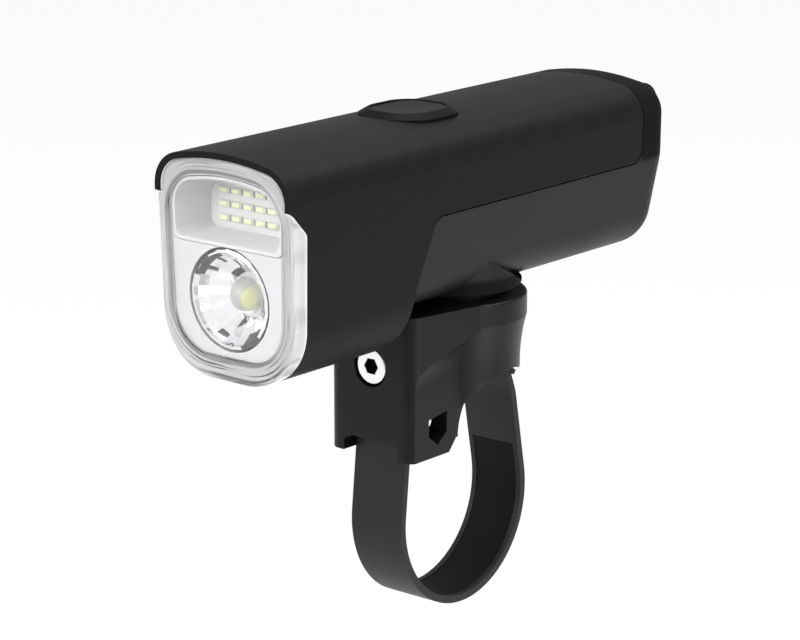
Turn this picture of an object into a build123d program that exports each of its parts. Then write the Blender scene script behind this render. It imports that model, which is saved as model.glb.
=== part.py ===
"""Bicycle headlight on a strap mount, as an assembly of separate pieces.

All sizes are millimetres. The origin lies on the handlebar's axis, X runs along the handlebar,
the beam points along -Y and Z is up.
"""
import os
from math import acos, asin, atan2, cos, hypot, pi, radians, sin, sqrt, tan

from build123d import *

# Handlebar seat and strap
bar_radius = 11.1
saddle_pad_wall = 1.0
saddle_half_width = 10.0
saddle_rear_angle = 52
strap_width = 12.6
strap_wall = 1.5
strap_bar_gap = 0.15
strap_loop_radius = 19.2
strap_loop_drop = 16.8
strap_loop_ahead = 4.2
liner_inlay = 0.55
liner_relief = 0.12
liner_border = 1.1
liner_rise = 5.4

# Anchor pin of the strap's front end
pin_radius = 1.5
pin_ahead = 19.0
pin_height = 4.6
pin_length = 17.4
pin_running_gap = 0.05

# Clamp bolt, its washer and the nut in the strap's sliding head
bolt_radius = 2.0
bolt_head_radius = 3.6
bolt_head_height = 4.0
bolt_head_recess = 0.3
bolt_shank_length = 30.0
bolt_head_round = 0.35
hex_socket_half = 1.52
hex_socket_depth = 2.4
bolt_bore_gap = 0.15
thread_gap = 0.05
washer_radius = 3.8
washer_wall = 0.8
counterbore_gap = 0.25
saddle_roof = 1.0
nut_half_height = 2.5
nut_length = 4.0
nut_half_width = 5.0
nut_ahead_of_rest = 2.2
nut_gap = 0.1
clamp_travel = 2.1
slider_wall = 0.55
slider_tail = 3.2
slider_half_width = 6.1
channel_gap = 0.3

# Mount base
base_ahead = 24.2
base_half_width = 10.3
base_corner_radius = 3.0
leg_drop = 2.4
leg_lead_in = 2.1
front_wall = 1.9
leg_rear_wall = 3.6
strap_slot_gap = 0.45
strap_slot_top = 0.9
strap_slot_round = 1.6
eye_room = 1.3
window_width = 5.6
window_height = 6.4
window_ahead_of_pin = 1.5
window_low = -0.15
window_point_share = 0.35
column_radius = 15.6
column_foot_radius = 14.3
column_foot_height = 11.1
column_cove_height = 10.9
column_cove_depth = 0.4
flare_foot_radius = 9.6
flare_bulge = 1.1
flare_radius = 7.5
flare_lift = 23.7
flare_tilt = 9.5
base_edge_round = 0.6

# Twist lock between the head and the base
twist_ahead = 1.7
socket_floor = 0.85
socket_depth = 6.8
socket_wall = 1.8
ring_lip = 2.4
ring_height = 2.7
ring_sink = 0.3
hub_gap = 0.3
tab_gap = 0.3
tab_half_angle = 29
notch_half_angle = 34
foot_floor_gap = 0.4
foot_shadow_gap = 1.5
puck_radius = 14.5
puck_edge_round = 0.5
puck_rim = 0.9
puck_slope = 27.9
puck_slope_reach = 6.5
foot_screw_radius = 1.25
foot_screw_head_radius = 2.2
foot_screw_head_height = 1.7
foot_screw_circle = 8.0
foot_screw_bite = 3.4
foot_recess_radius = 4.2
foot_recess_depth = 1.6

# Head outline
nose_reach = 65.5
tail_reach = 53.0
nose_drop = 7.0
head_height = 42.9
head_half_width = 16.6
foot_half_width = 15.9
crown_radius = 53.0
crown_angle = 9.5
shoulder_radius = 6.6
keel_radius = 12.0
seam_height = 19.5
seam_half_width = 16.4
seam_round = 14.0
belly_half_width = 12.3
belly_radius = 9.5
tail_round = 6.0

# Casing shell
casing_wall = 1.8
hood_wall = 1.2
seat_behind_front = 10.2
notch_below_top = 8.8
ear_shelf = 0.5
ear_depth = 4.8
ear_drop = 4.5
ear_lean = 0.2
ear_round = 1.5
nose_seam_length = 41.9
nose_knee_length = 35.4
nose_knee_rise = 12.5
nose_foot_length = 32.6
nose_edge_round = 2.5
knee_round = 22.0
bulkhead_rise = 1.9
cap_length = 10.7
cap_corner_round = 3.0
seam_gap = 0.3

# Front lens
lens_setback = 0.2
lens_lean = 1.2
lens_wall = 1.2
lens_gap = 0.1
lens_edge_round = 0.8
window_side_margin = 2.5
window_foot_side_margin = 2.6
window_top_margin = 4.1
window_foot_margin = 4.5
window_shoulder_radius = 6.4
window_keel_radius = 8.6
gasket_wall = 0.5

# Light unit behind the lens
bezel_gap = 0.15
bezel_wall = 1.0
bezel_skirt_wall = 0.8
unit_gap = 0.15
bowl_height = 15.5
bowl_radius = 9.0
bowl_throat_radius = 4.2
bowl_bulge = 1.15
bowl_wall = 0.7
bowl_flange = 0.9
led_plane_depth = 8.2
board_wall = 1.4
led_size = 6.0
led_wall = 0.7
phosphor_size = 2.2
phosphor_wall = 0.12
dome_radius = 3.4
chamber_margin = 1.1
chamber_floor_height = 25.8
chamber_back_half_width = 9.6
chamber_back_inset = 1.4
chamber_round = 3.0
chamber_wall = 0.6
flood_rows = 3
flood_columns = 5
flood_led_width = 2.5
flood_led_height = 1.2
flood_led_wall = 0.5
pad_wall = 0.6
sink_plate = 4.0
sink_depth = 11.0
sink_fin_wall = 1.2
sink_fins = 6
sink_gap = 0.06
sink_rim_wall = 1.6
board_screw_radius = 1.0
board_screw_head_radius = 1.9
board_screw_head_height = 1.2
board_screw_length = 4.6
board_screw_height = 22.4
board_screw_offset = 10.6

# Lower cover
cover_wall = 2.2
cover_lip_wall = 1.2
cover_lip_height = 2.6
cover_lip_gap = 0.1
cover_tongue = 4.0
seal_margin = 0.7
seal_width = 1.0
cap_wall = 2.0
cap_screw_inset = 6.6
cap_screw_drop = 5.3
cap_screw_radius = 1.25
cap_screw_head_radius = 2.3
cap_screw_head_height = 1.7
cap_screw_head_sink = 2.0
cap_screw_length = 16.0
cap_boss_radius = 3.1
casing_port_radius = 3.0
casing_port_length = 15.0

# Battery and its carrier
cell_radius = 10.8
cell_length = 70.2
cell_end_round = 0.9
cell_nose_gap = 1.2
cell_button_radius = 4.2
cell_button_height = 0.8
cell_ring_radius = 7.4
cell_ring_wall = 0.3
cell_pad_wall = 0.7
cell_pad_half_width = 3.0
cell_pad_length = 14.0
cell_pad_count = 3
cradle_gap = 0.12
cradle_wall = 2.6
cradle_half_width = 9.6
cradle_length = 42.0
cradle_window_length = 12.0
cradle_window_half_width = 3.4
tab_strip_half_width = 2.5
tab_strip_wall = 0.2

# Driver board
driver_wall = 1.2
driver_half_width = 11.4
driver_front_reach = 36.0
driver_rear_reach = 24.0
driver_corner_radius = 1.5
part_rows_share = ((-0.62, -0.45, 0.34, 0.42, 2.6), (0.48, -0.55, 0.36, 0.30, 1.9), (-0.40, 0.12, 0.26, 0.30, 1.1),
                   (0.45, 0.30, 0.30, 0.24, 1.4), (-0.45, 0.72, 0.34, 0.36, 1.4), (0.42, 0.80, 0.20, 0.20, 1.2))
part_unit_width = 11.4
part_unit_length = 20.0

# Button and its switch
button_ahead = 12.7
button_width = 17.2
button_length = 18.8
button_corner_radius = 7.4
button_rise = 1.0
button_rim = 2.3
button_rim_slope = 1.7
button_flange = 1.0
button_flange_wall = 0.9
button_frame_depth = 4.0
button_gap = 0.2
button_set_down = 0.15
button_dish_radius = 60.0
button_dish_depth = 0.45
button_foot_wall = 0.8
button_travel = 0.5
switch_half_size = 3.0
switch_plunger_radius = 1.6
switch_plunger_gap = 0.05
switch_stroke_room = 0.15

# Charging socket and its rubber cover
socket_rise = 14.4
usb_half_width = 4.47
usb_half_height = 1.63
usb_length = 7.3
usb_shell_wall = 0.35
usb_tongue_wall = 0.7
usb_sink = 0.5
usb_board_wall = 1.0
usb_board_half_width = 7.0
port_gap = 0.25
flap_half_width = 7.4
flap_half_height = 4.4
flap_wall = 1.5
flap_round = 0.5
flap_plug_depth = 1.2
flap_plug_gap = 0.45
flap_hinge_gap = 0.3
flap_bead_radius = 0.75
flap_rod_radius = 0.4
flap_tab_half_width = 3.8
anchor_half_width = 5.2
anchor_height = 2.4
anchor_peg_radius = 0.9

cut_overrun = 1.0

# Levels and stations that follow from the sizes above
saddle_radius = bar_radius + saddle_pad_wall
bolt_z = saddle_radius + saddle_roof + nut_half_height
channel_floor_z = bolt_z - nut_half_height
channel_top_z = bolt_z + nut_half_height + slider_wall + channel_gap
socket_floor_z = channel_top_z + socket_floor
base_top_z = socket_floor_z + socket_depth
belly_z = base_top_z + foot_shadow_gap
nose_bottom_z = belly_z - nose_drop
head_top_z = nose_bottom_z + head_height
seam_z = belly_z + seam_height
twist_y = -twist_ahead
base_front_y = twist_y - base_ahead
front_y = twist_y - nose_reach
tail_y = twist_y + tail_reach
cap_y = tail_y - cap_length
seat_y = front_y + seat_behind_front
button_y = twist_y - button_ahead
led_y = front_y + led_plane_depth
cell_z = belly_z + cover_wall + cell_pad_wall + cell_radius
cell_rear_y = tail_y - cap_length - usb_board_wall
cell_front_y = cell_rear_y - cell_length
driver_z = cell_z + cell_radius + cradle_wall
socket_z = belly_z + socket_rise
pin_y = -pin_ahead
bolt_front_y = base_front_y + bolt_head_recess
bolt_seat_y = bolt_front_y + bolt_head_height


def rounded_face(corners):
    """Closed face through (u, v, radius) corners, each corner rounded by its own radius."""
    points = [Vector(u, v) for u, v, _ in corners]
    starts, middles, ends = [], [], []
    for index, (_, _, radius) in enumerate(corners):
        here = points[index]
        back = (points[index - 1] - here).normalized()
        ahead = (points[(index + 1) % len(points)] - here).normalized()
        half = acos(max(-1, min(1, back.dot(ahead)))) / 2
        reach = radius / tan(half)
        starts.append(here + back * reach)
        ends.append(here + ahead * reach)
        bisector = (back + ahead).normalized() if radius else back
        middles.append(here + bisector * (radius / sin(half) - radius))
    edges = []
    for index, (_, _, radius) in enumerate(corners):
        if (starts[index] - ends[index - 1]).length > seam_gap / 1000:
            edges.append(Edge.make_line(ends[index - 1], starts[index]))
        if radius:
            edges.append(Edge.make_three_point_arc(starts[index], middles[index], ends[index]))
    return Face(Wire(edges))


def along_y(face, low, high):
    """Solid of an X-Z outline between two stations along the head."""
    return Pos(0, high, 0) * extrude(Plane.XZ * face, high - low, dir=(0, -1, 0))


def across_x(face, half_width):
    """Solid of a Y-Z outline, as wide on both sides of the middle plane."""
    return extrude(Plane.YZ * face, half_width, both=True)


def up_z(face, low, high):
    """Solid of an X-Y outline between two heights."""
    return Pos(0, 0, low) * extrude(face, high - low, dir=(0, 0, 1))


def block(x, y, z):
    """Box between the limits of three (low, high) pairs."""
    size = [high - low for low, high in (x, y, z)]
    middle = [(high + low) / 2 for low, high in (x, y, z)]
    return Pos(*middle) * Box(*size)


def round_x(radius, half_length, y, z):
    return Pos(0, y, z) * Rot(0, 90, 0) * Cylinder(radius, 2 * half_length)


def round_y(radius, low, high, x, z):
    return Pos(x, (low + high) / 2, z) * Rot(90, 0, 0) * Cylinder(radius, high - low)


def round_z(radius, low, high, x=0, y=twist_y):
    return Pos(x, y, (low + high) / 2) * Cylinder(radius, high - low)


def rounded_box_face(half_width, half_length, radius, x=0, y=0):
    """Rectangle with four equal round corners about a centre."""
    signs = ((-1, -1), (1, -1), (1, 1), (-1, 1))
    return rounded_face([(x + a * half_width, y + b * half_length, radius) for a, b in signs])


def crown_points(half, top, crown):
    """Peak and shoulder heights of the slightly domed roof of the head."""
    angle = radians(crown_angle)
    peak = top + crown * (1 / cos(angle) - 1)
    return peak, peak - half * tan(angle)


def head_face(inset=0):
    """Cross-section of the casing, drawn in by an even inset."""
    half = head_half_width - inset
    foot = foot_half_width - inset
    peak, shoulder = crown_points(half, head_top_z - inset, crown_radius - inset)
    bottom = nose_bottom_z + inset
    return rounded_face([
        (0, peak, crown_radius - inset),
        (-half, shoulder, shoulder_radius - inset),
        (-foot, bottom, keel_radius - inset),
        (foot, bottom, keel_radius - inset),
        (half, shoulder, shoulder_radius - inset),
    ])


def cover_face(inset=0):
    """Cross-section of the head behind the nose, with the narrower belly."""
    half = head_half_width - inset
    waist = seam_half_width - inset
    belly = belly_half_width - inset
    peak, shoulder = crown_points(half, head_top_z - inset, crown_radius - inset)
    bottom = belly_z + inset
    return rounded_face([
        (0, peak, crown_radius - inset),
        (-half, shoulder, shoulder_radius - inset),
        (-waist, seam_z, seam_round),
        (-belly, bottom, belly_radius - inset),
        (belly, bottom, belly_radius - inset),
        (waist, seam_z, seam_round),
        (half, shoulder, shoulder_radius - inset),
    ])


def window_face(inset=0):
    """Outline of the clear window and of the light unit that stands in it."""
    half = head_half_width - window_side_margin - inset
    foot = foot_half_width - window_foot_side_margin - inset
    crown = crown_radius - window_top_margin - inset
    peak, shoulder = crown_points(half, head_top_z - window_top_margin - inset, crown)
    bottom = nose_bottom_z + window_foot_margin + inset
    return rounded_face([
        (0, peak, crown),
        (-half, shoulder, window_shoulder_radius - inset),
        (-foot, bottom, window_keel_radius - inset),
        (foot, bottom, window_keel_radius - inset),
        (half, shoulder, window_shoulder_radius - inset),
    ])


def side_mask(outline):
    """Wide solid of a side-view outline, used to trim a piece."""
    return across_x(rounded_face(outline), head_half_width + cut_overrun)


def lens_plane(depth, z):
    """Station of a plane parallel to the leaning lens, a depth behind its front."""
    return front_y + lens_setback + depth + lens_lean * (head_top_z - z) / head_height


def behind_lens(depth, rear):
    """Everything from a depth behind the lens front to a rear station."""
    top = head_top_z + cut_overrun
    bottom = nose_bottom_z - cut_overrun
    return side_mask([
        (lens_plane(depth, top), top, 0), (lens_plane(depth, bottom), bottom, 0),
        (rear, bottom, 0), (rear, top, 0),
    ])


def front_step(gap):
    """Side-view corners of the casing's stepped front edge, moved forward and down by a gap."""
    notch = head_top_z - notch_below_top - gap
    return [
        (front_y, notch, 0),
        (front_y + ear_shelf - gap, notch, 0),
        (front_y + ear_depth - gap, notch - ear_drop, ear_round),
        (front_y + ear_depth + ear_lean - gap, nose_bottom_z - cut_overrun, 0),
    ]


def nose_edge(gap):
    """Side-view corners of the nose's rear edge, moved back by a gap, from the foot to the seam."""
    return [
        (front_y + nose_foot_length + gap, nose_bottom_z, nose_edge_round),
        (front_y + nose_knee_length + gap, nose_bottom_z + nose_knee_rise, knee_round),
        (front_y + nose_seam_length + gap, seam_z, nose_edge_round),
    ]


def casing_screw_places():
    return [(side * (head_half_width - cap_screw_inset), head_top_z - cap_screw_drop) for side in (-1, 1)]


def upper_casing():
    top = head_top_z + cut_overrun
    outline = [(front_y, top, 0), *front_step(0)[:-1], (front_y + ear_depth + ear_lean, nose_bottom_z, 0)]
    outline += nose_edge(0)
    outline += [(cap_y, seam_z, cap_corner_round), (cap_y, top, 0)]
    shell = along_y(head_face(), front_y, cap_y) & side_mask(outline)
    bulkhead_z = belly_z + bulkhead_rise
    room = side_mask([
        (seat_y, top, 0), (seat_y, nose_bottom_z, 0),
        (front_y + nose_foot_length - casing_wall, nose_bottom_z, 0),
        (front_y + nose_foot_length - casing_wall, bulkhead_z, 0),
        (tail_y, bulkhead_z, 0), (tail_y, top, 0),
    ])
    shell -= along_y(head_face(casing_wall), seat_y, tail_y) & room
    shell -= along_y(head_face(hood_wall), front_y - cut_overrun, seat_y)
    shell -= button_prism(button_gap / 4, head_top_z - button_frame_depth, top)
    for x, z in casing_screw_places():
        port = round_y(casing_port_radius, cap_y - casing_port_length, cap_y, x, z)
        shell += port & along_y(head_face(casing_wall / 2), front_y, cap_y)
    for x, z in casing_screw_places():
        shell -= round_y(cap_screw_radius, cap_y - casing_port_length, cap_y + cut_overrun, x, z)
    return shell


def button_prism(grow, low, high):
    face = rounded_box_face(button_width / 2 + grow, button_length / 2 + grow,
                            button_corner_radius + grow, 0, button_y)
    return up_z(face, low, high)


def faces_forward(face):
    return face.geom_type == GeomType.PLANE and face.normal_at().Y < -cos(pi / 6)


def round_front(body, top):
    """Body trimmed to the leaning front, whose rim is rounded below a height."""
    body = body & behind_lens(0, seat_y)
    front = max(body.faces().filter_by(faces_forward), key=lambda face: face.area)
    return fillet([edge for edge in front.outer_wire().edges() if edge.center().Z < top], lens_edge_round)


def front_lens():
    wide = along_y(head_face(), front_y, seat_y)
    ear = wide & side_mask([(front_y - cut_overrun, head_top_z - notch_below_top - lens_gap, 0),
                            *front_step(lens_gap)[1:],
                            (front_y - cut_overrun, nose_bottom_z - cut_overrun, 0)])
    plug = along_y(head_face(hood_wall + lens_gap), front_y, seat_y - gasket_wall)
    body = round_front(ear, head_top_z - notch_below_top - lens_edge_round) + round_front(plug, head_top_z)
    return body - (along_y(window_face(), front_y, seat_y) & behind_lens(lens_wall, seat_y))


def lens_gasket():
    ring = head_face(hood_wall + lens_gap)
    return along_y(ring, seat_y - gasket_wall, seat_y) - along_y(
        window_face(), seat_y - cut_overrun, seat_y + cut_overrun)


def unit_slab(inset, depth, rear):
    """Slab of the window's outline between the leaning lens and a flat rear station."""
    return along_y(window_face(inset), front_y, rear) & behind_lens(depth, rear)


def chamber_front_face(grow):
    """Opening of the flood chamber at the bezel."""
    half = head_half_width - window_side_margin - chamber_margin + grow
    top = head_top_z - window_top_margin - chamber_margin + grow
    floor = nose_bottom_z + chamber_floor_height - grow
    crown = crown_radius * half / head_half_width
    peak, shoulder = crown_points(half, top, crown)
    return rounded_face([
        (0, peak, crown), (-half, shoulder, window_shoulder_radius - chamber_margin + grow),
        (-half, floor, chamber_round / 2), (half, floor, chamber_round / 2),
        (half, shoulder, window_shoulder_radius - chamber_margin + grow),
    ])


def chamber_back_heights():
    """Lowest and highest level of the flood chamber's floor."""
    low = nose_bottom_z + chamber_floor_height + chamber_back_inset
    return low, head_top_z - window_top_margin - chamber_margin - chamber_back_inset


def chamber_back_face(grow):
    """Floor outline of the flood chamber, round the rows of lamps."""
    half = chamber_back_half_width + grow
    low, high = chamber_back_heights()
    floor, top = low - grow, high + grow
    crown = crown_radius * half / head_half_width
    peak, shoulder = crown_points(half, top, crown)
    return rounded_face([
        (0, peak, crown), (-half, shoulder, chamber_round), (-half, floor, chamber_round / 2),
        (half, floor, chamber_round / 2), (half, shoulder, chamber_round),
    ])


def chamber(grow, front, rear):
    """Tapering hollow of the flood chamber, drawn between two stations."""
    near = Pos(0, front, 0) * (Plane.XZ * chamber_front_face(grow))
    far = Pos(0, rear, 0) * (Plane.XZ * chamber_back_face(grow))
    return loft([near, far])


def bowl_z():
    return nose_bottom_z + bowl_height


def chamber_front_y():
    """Station where the chamber's slanted walls start, ahead of the bezel at every height."""
    return lens_plane(lens_wall + bezel_gap, head_top_z)


def bezel_plate():
    depth = lens_wall + bezel_gap
    body = unit_slab(unit_gap, depth, led_y)
    body -= unit_slab(unit_gap + bezel_skirt_wall, depth + bezel_wall, led_y + cut_overrun)
    body -= round_y(bowl_radius + bowl_wall + unit_gap, front_y, led_y, 0, bowl_z())
    return body - chamber(chamber_wall + unit_gap, chamber_front_y(), led_y)


def bowl_surface(grow):
    """Solid of revolution inside the round reflector, widened by a wall."""
    front = lens_plane(lens_wall + bezel_gap, head_top_z)
    rear = led_y
    throat, rim = bowl_throat_radius + grow, bowl_radius + grow
    middle = ((throat + rim) / 2 + bowl_bulge, rear + (front - rear) * bowl_bulge / bowl_wall / 4)
    profile = Face(Wire([
        Edge.make_line((0, rear), (throat, rear)),
        Edge.make_three_point_arc((throat, rear), middle, (rim, front)),
        Edge.make_line((rim, front), (0, front)),
        Edge.make_line((0, front), (0, rear)),
    ]))
    return Pos(0, 0, bowl_z()) * revolve(profile, Axis.Y)


def main_reflector():
    depth = lens_wall + bezel_gap
    bowl = bowl_surface(bowl_wall) - bowl_surface(0)
    flange = round_y(bowl_throat_radius + bowl_flange + bowl_wall, led_y - bowl_wall, led_y, 0, bowl_z())
    flange -= round_y(bowl_throat_radius, led_y - bowl_wall, led_y, 0, bowl_z())
    return (bowl + flange - bowl_surface(0)) & behind_lens(depth, led_y)


def flood_reflector():
    depth = lens_wall + bezel_gap
    front = chamber_front_y()
    tray = chamber(chamber_wall, front, led_y) - chamber(0, front, led_y)
    return tray & behind_lens(depth, led_y)


def led_board():
    return along_y(window_face(unit_gap), led_y, led_y + board_wall) - screw_set(
        board_screw_places(), board_screw_radius, led_y - cut_overrun, led_y + board_wall + cut_overrun)


def board_screw_places():
    return [(side * board_screw_offset, nose_bottom_z + board_screw_height) for side in (-1, 1)]


def screw_set(places, radius, low, high):
    """Equal round bars along Y at several places."""
    return Compound([round_y(radius, low, high, x, z).solid() for x, z in places])


def main_led():
    half = led_size / 2
    place = bowl_z()
    body = block((-half, half), (led_y - led_wall, led_y), (place - half, place + half))
    return chamfer(body.edges().filter_by(Axis.Y), led_wall / 2)


def main_led_phosphor():
    half = phosphor_size / 2
    place = bowl_z()
    low = led_y - led_wall - phosphor_wall
    return block((-half, half), (low, led_y - led_wall), (place - half, place + half))


def main_led_dome():
    face_y = led_y - led_wall
    dome = Pos(0, face_y, bowl_z()) * Sphere(dome_radius)
    span = 2 * dome_radius
    dome &= block((-span, span), (face_y - span, face_y), (bowl_z() - span, bowl_z() + span))
    half = phosphor_size / 2
    return dome - block((-half, half), (face_y - phosphor_wall, face_y + cut_overrun),
                        (bowl_z() - half, bowl_z() + half))


def flood_leds():
    lamps = []
    low, high = chamber_back_heights()
    row_pitch = (high - low) / (flood_rows + 1 / 2)
    column_pitch = 2 * chamber_back_half_width / (flood_columns + 3 / 2)
    for row in range(flood_rows):
        z = (low + high) / 2 + (row - (flood_rows - 1) / 2) * row_pitch
        for column in range(flood_columns):
            x = (column - (flood_columns - 1) / 2) * column_pitch
            lamp = block((x - flood_led_width / 2, x + flood_led_width / 2),
                         (led_y - flood_led_wall, led_y),
                         (z - flood_led_height / 2, z + flood_led_height / 2))
            lamps.append(chamfer(lamp.faces().sort_by(Axis.Y)[0].edges(), flood_led_wall / 4).solid())
    return Compound(lamps)


def thermal_pad():
    low = led_y + board_wall
    pad = along_y(window_face(2 * bezel_skirt_wall), low, seat_y)
    return pad - screw_set(board_screw_places(), board_screw_head_radius, low - cut_overrun, seat_y + cut_overrun)


def heat_sink():
    inset = casing_wall + sink_gap
    body = along_y(head_face(inset), seat_y, seat_y + sink_depth)
    hollow = along_y(head_face(inset + sink_rim_wall), seat_y + sink_plate, seat_y + sink_depth + cut_overrun)
    low, high = nose_bottom_z + inset, head_top_z - inset
    pitch = (high - low) / (sink_fins + 1)
    for fin in range(sink_fins):
        z = low + pitch * (fin + 1)
        hollow -= block((-head_half_width, head_half_width), (seat_y, seat_y + sink_depth),
                        (z - sink_fin_wall / 2, z + sink_fin_wall / 2))
    body -= hollow
    return body - screw_set(board_screw_places(), board_screw_radius,
                            seat_y - cut_overrun, led_y + board_screw_length + cut_overrun)


def led_board_screws():
    screws = []
    for x, z in board_screw_places():
        head = round_y(board_screw_head_radius, led_y - board_screw_head_height, led_y, x, z)
        shank = round_y(board_screw_radius, led_y, led_y + board_screw_length, x, z)
        screws.append((head + shank).solid())
    return Compound(screws)


def cover_trim(gap):
    """Everything in front of and above the lower cover's edges."""
    top = head_top_z + cut_overrun
    outline = [(front_y - cut_overrun, top, 0), (front_y - cut_overrun, nose_bottom_z - cut_overrun, 0),
               (front_y + nose_foot_length + gap, nose_bottom_z - cut_overrun, 0)]
    outline += nose_edge(gap)[1:2]
    outline += [(front_y + nose_seam_length + gap, seam_z - gap, nose_edge_round),
                (cap_y + gap, seam_z - gap, cap_corner_round), (cap_y + gap, top, 0)]
    return side_mask(outline)


def puck():
    """Round boss under the belly, flush with its lowest line; its top slopes down to a rear rim."""
    body = round_z(puck_radius, belly_z, seam_z - cover_lip_height)
    body = fillet(body.faces().sort_by(Axis.Z)[0].edges(), puck_edge_round)
    front, knee, rear = twist_y - puck_radius, twist_y + puck_slope_reach, twist_y + puck_radius
    rim = belly_z + puck_rim
    high = rim + (knee - front) * tan(radians(puck_slope))
    return body & side_mask([(front, belly_z, 0), (front, high, 0), (knee, rim, 0), (rear, rim, 0),
                             (rear, belly_z, 0)])


def lower_cover():
    body = along_y(cover_face(), front_y, tail_y)
    body = fillet(body.faces().sort_by(Axis.Y)[-1].edges(), tail_round)
    hollow = along_y(cover_face(cover_wall), front_y - cut_overrun, tail_y - cap_wall)
    body = body + puck() - hollow
    for x, y in foot_screw_places():
        body += round_z(foot_screw_radius + cap_wall / 2, belly_z, belly_z + cover_wall + foot_screw_bite / 3, x, y)
    body -= cover_trim(seam_gap)
    body += cover_lip() + cover_tongue_wall()
    bosses = along_y(cover_face(cap_wall / 2), cap_y + seam_gap, tail_y - cap_wall / 2)
    for x, z in casing_screw_places():
        body += round_y(cap_boss_radius, cap_y + seam_gap, tail_y, x, z) & bosses
    for x, z in casing_screw_places():
        body -= round_y(cap_screw_radius + bolt_bore_gap, cap_y - cut_overrun, tail_y + cut_overrun, x, z)
        body -= round_y(cap_screw_head_radius + bolt_bore_gap, cap_head_y(), tail_y + cut_overrun, x, z)
    for x, y in foot_screw_places():
        body -= round_z(foot_screw_radius, belly_z - cut_overrun, foot_screw_tip_z(), x, y)
    body -= along_y(port_face(port_gap), cap_y, tail_y + cut_overrun)
    return body - round_y(anchor_peg_radius, tail_y - cap_wall - cut_overrun, tail_y + cut_overrun,
                          0, anchor_z())


def cap_head_y():
    return tail_y - cap_screw_head_sink - cap_screw_head_height


def cover_lip():
    """Low wall along the cover's top edges that stands inside the casing."""
    ring = along_y(head_face(casing_wall + cover_lip_gap), front_y + nose_seam_length + seam_gap, cap_y)
    ring -= along_y(head_face(casing_wall + cover_lip_gap + cover_lip_wall), front_y, tail_y)
    low, high = seam_z - cover_lip_height, seam_z + cover_lip_height
    return ring & block((-head_half_width, head_half_width), (front_y, tail_y), (low, high))


def cover_tongue_wall():
    """Lip of the cover that reaches forward into the nose."""
    gap = casing_wall + cover_lip_gap
    low_y = front_y + nose_knee_length - cover_tongue
    high_y = front_y + nose_seam_length + cover_tongue
    outer = along_y(head_face(gap), low_y, high_y) & along_y(cover_face(gap / 4), low_y, high_y)
    inner = along_y(head_face(gap + cover_lip_wall), low_y, high_y)
    inner &= along_y(cover_face(gap / 4 + cover_wall), low_y, high_y)
    low, high = belly_z + bulkhead_rise + cover_lip_gap, seam_z - cover_lip_height
    room = block((-head_half_width, head_half_width), (front_y, tail_y), (low, high))
    return (outer - inner) & room


def cover_seal():
    """Gasket in the gap between the casing's and the cover's edges."""
    start = front_y + nose_seam_length + nose_edge_round
    ring = along_y(head_face(seal_margin), start, tail_y)
    ring -= along_y(head_face(seal_margin + seal_width), start - cut_overrun, tail_y + cut_overrun)
    return ring & (cover_trim(seam_gap) - cover_trim(0))


def cap_screws():
    screws = []
    for x, z in casing_screw_places():
        seat = cap_head_y()
        head = round_y(cap_screw_head_radius, seat, seat + cap_screw_head_height, x, z)
        head -= hex_bar(cap_screw_head_radius / 2, seat + cap_screw_head_height / 2, tail_y, x, z)
        shank = round_y(cap_screw_radius, seat - cap_screw_length, seat, x, z)
        screws.append((head + shank).solid())
    return Compound(screws)


def hex_bar(half_flat, low, high, x, z):
    """Six-sided bar along Y, for hexagonal drive sockets."""
    corner = half_flat / cos(pi / 6)
    points = [(corner * cos(pi / 3 * n), corner * sin(pi / 3 * n), 0) for n in range(6)]
    return Pos(x, 0, z) * along_y(rounded_face(points), low, high)


def foot_screw_places():
    turns = [pi / 4 + pi / 2 * n for n in range(4)]
    return [(foot_screw_circle * cos(t), twist_y + foot_screw_circle * sin(t)) for t in turns]


def foot_bottom_z():
    return socket_floor_z + foot_floor_gap


def ring_low_z():
    return base_top_z - ring_sink - ring_height


def socket_radius():
    return column_radius - socket_wall


def hub_radius():
    return socket_radius() - ring_lip - hub_gap


def foot_screw_tip_z():
    return belly_z + foot_screw_bite


def sector(radius, half_angle, low, high, turn):
    """Wedge of a disc about the twist axis, centred on a direction in degrees."""
    reach = 2 * radius
    a, b = radians(turn - half_angle), radians(turn + half_angle)
    face = rounded_face([(0, 0, 0), (reach * cos(a), reach * sin(a), 0), (reach * cos(b), reach * sin(b), 0)])
    wedge = Pos(0, twist_y, 0) * up_z(face, low, high)
    return wedge & round_z(radius, low, high)


def twist_foot():
    low, high = foot_bottom_z(), belly_z
    body = round_z(hub_radius(), low, high)
    for turn in (0, 180):
        body += sector(socket_radius() - tab_gap, tab_half_angle, low, ring_low_z() - foot_floor_gap / 2, turn)
    body -= round_z(foot_recess_radius, low - cut_overrun, low + foot_recess_depth)
    for x, y in foot_screw_places():
        body -= round_z(foot_screw_head_radius + bolt_bore_gap, low - cut_overrun, low + foot_screw_head_height, x, y)
        body -= round_z(foot_screw_radius + bolt_bore_gap, low, high + cut_overrun, x, y)
    return body


def foot_screws():
    screws = []
    low = foot_bottom_z()
    for x, y in foot_screw_places():
        head = round_z(foot_screw_head_radius, low, low + foot_screw_head_height, x, y)
        shank = round_z(foot_screw_radius, low + foot_screw_head_height, foot_screw_tip_z(), x, y)
        cross = foot_screw_head_radius / 2
        screw = head + shank - round_z(cross, low - cut_overrun, low + foot_screw_head_height / 2, x, y)
        screws.append(screw.solid())
    return Compound(screws)


def battery_cell():
    body = round_y(cell_radius, cell_front_y + cell_button_height, cell_rear_y, 0, cell_z)
    ends = body.faces().sort_by(Axis.Y)
    body = fillet(ends[0].edges() + ends[-1].edges(), cell_end_round)
    groove_y = cell_front_y + cell_button_height + cell_radius / 3
    groove = Pos(0, groove_y, cell_z) * Rot(90, 0, 0) * Torus(cell_radius + cell_end_round / 2, cell_end_round)
    body -= groove
    return body + round_y(cell_button_radius, cell_front_y, cell_front_y + cell_button_height, 0, cell_z)


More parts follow.
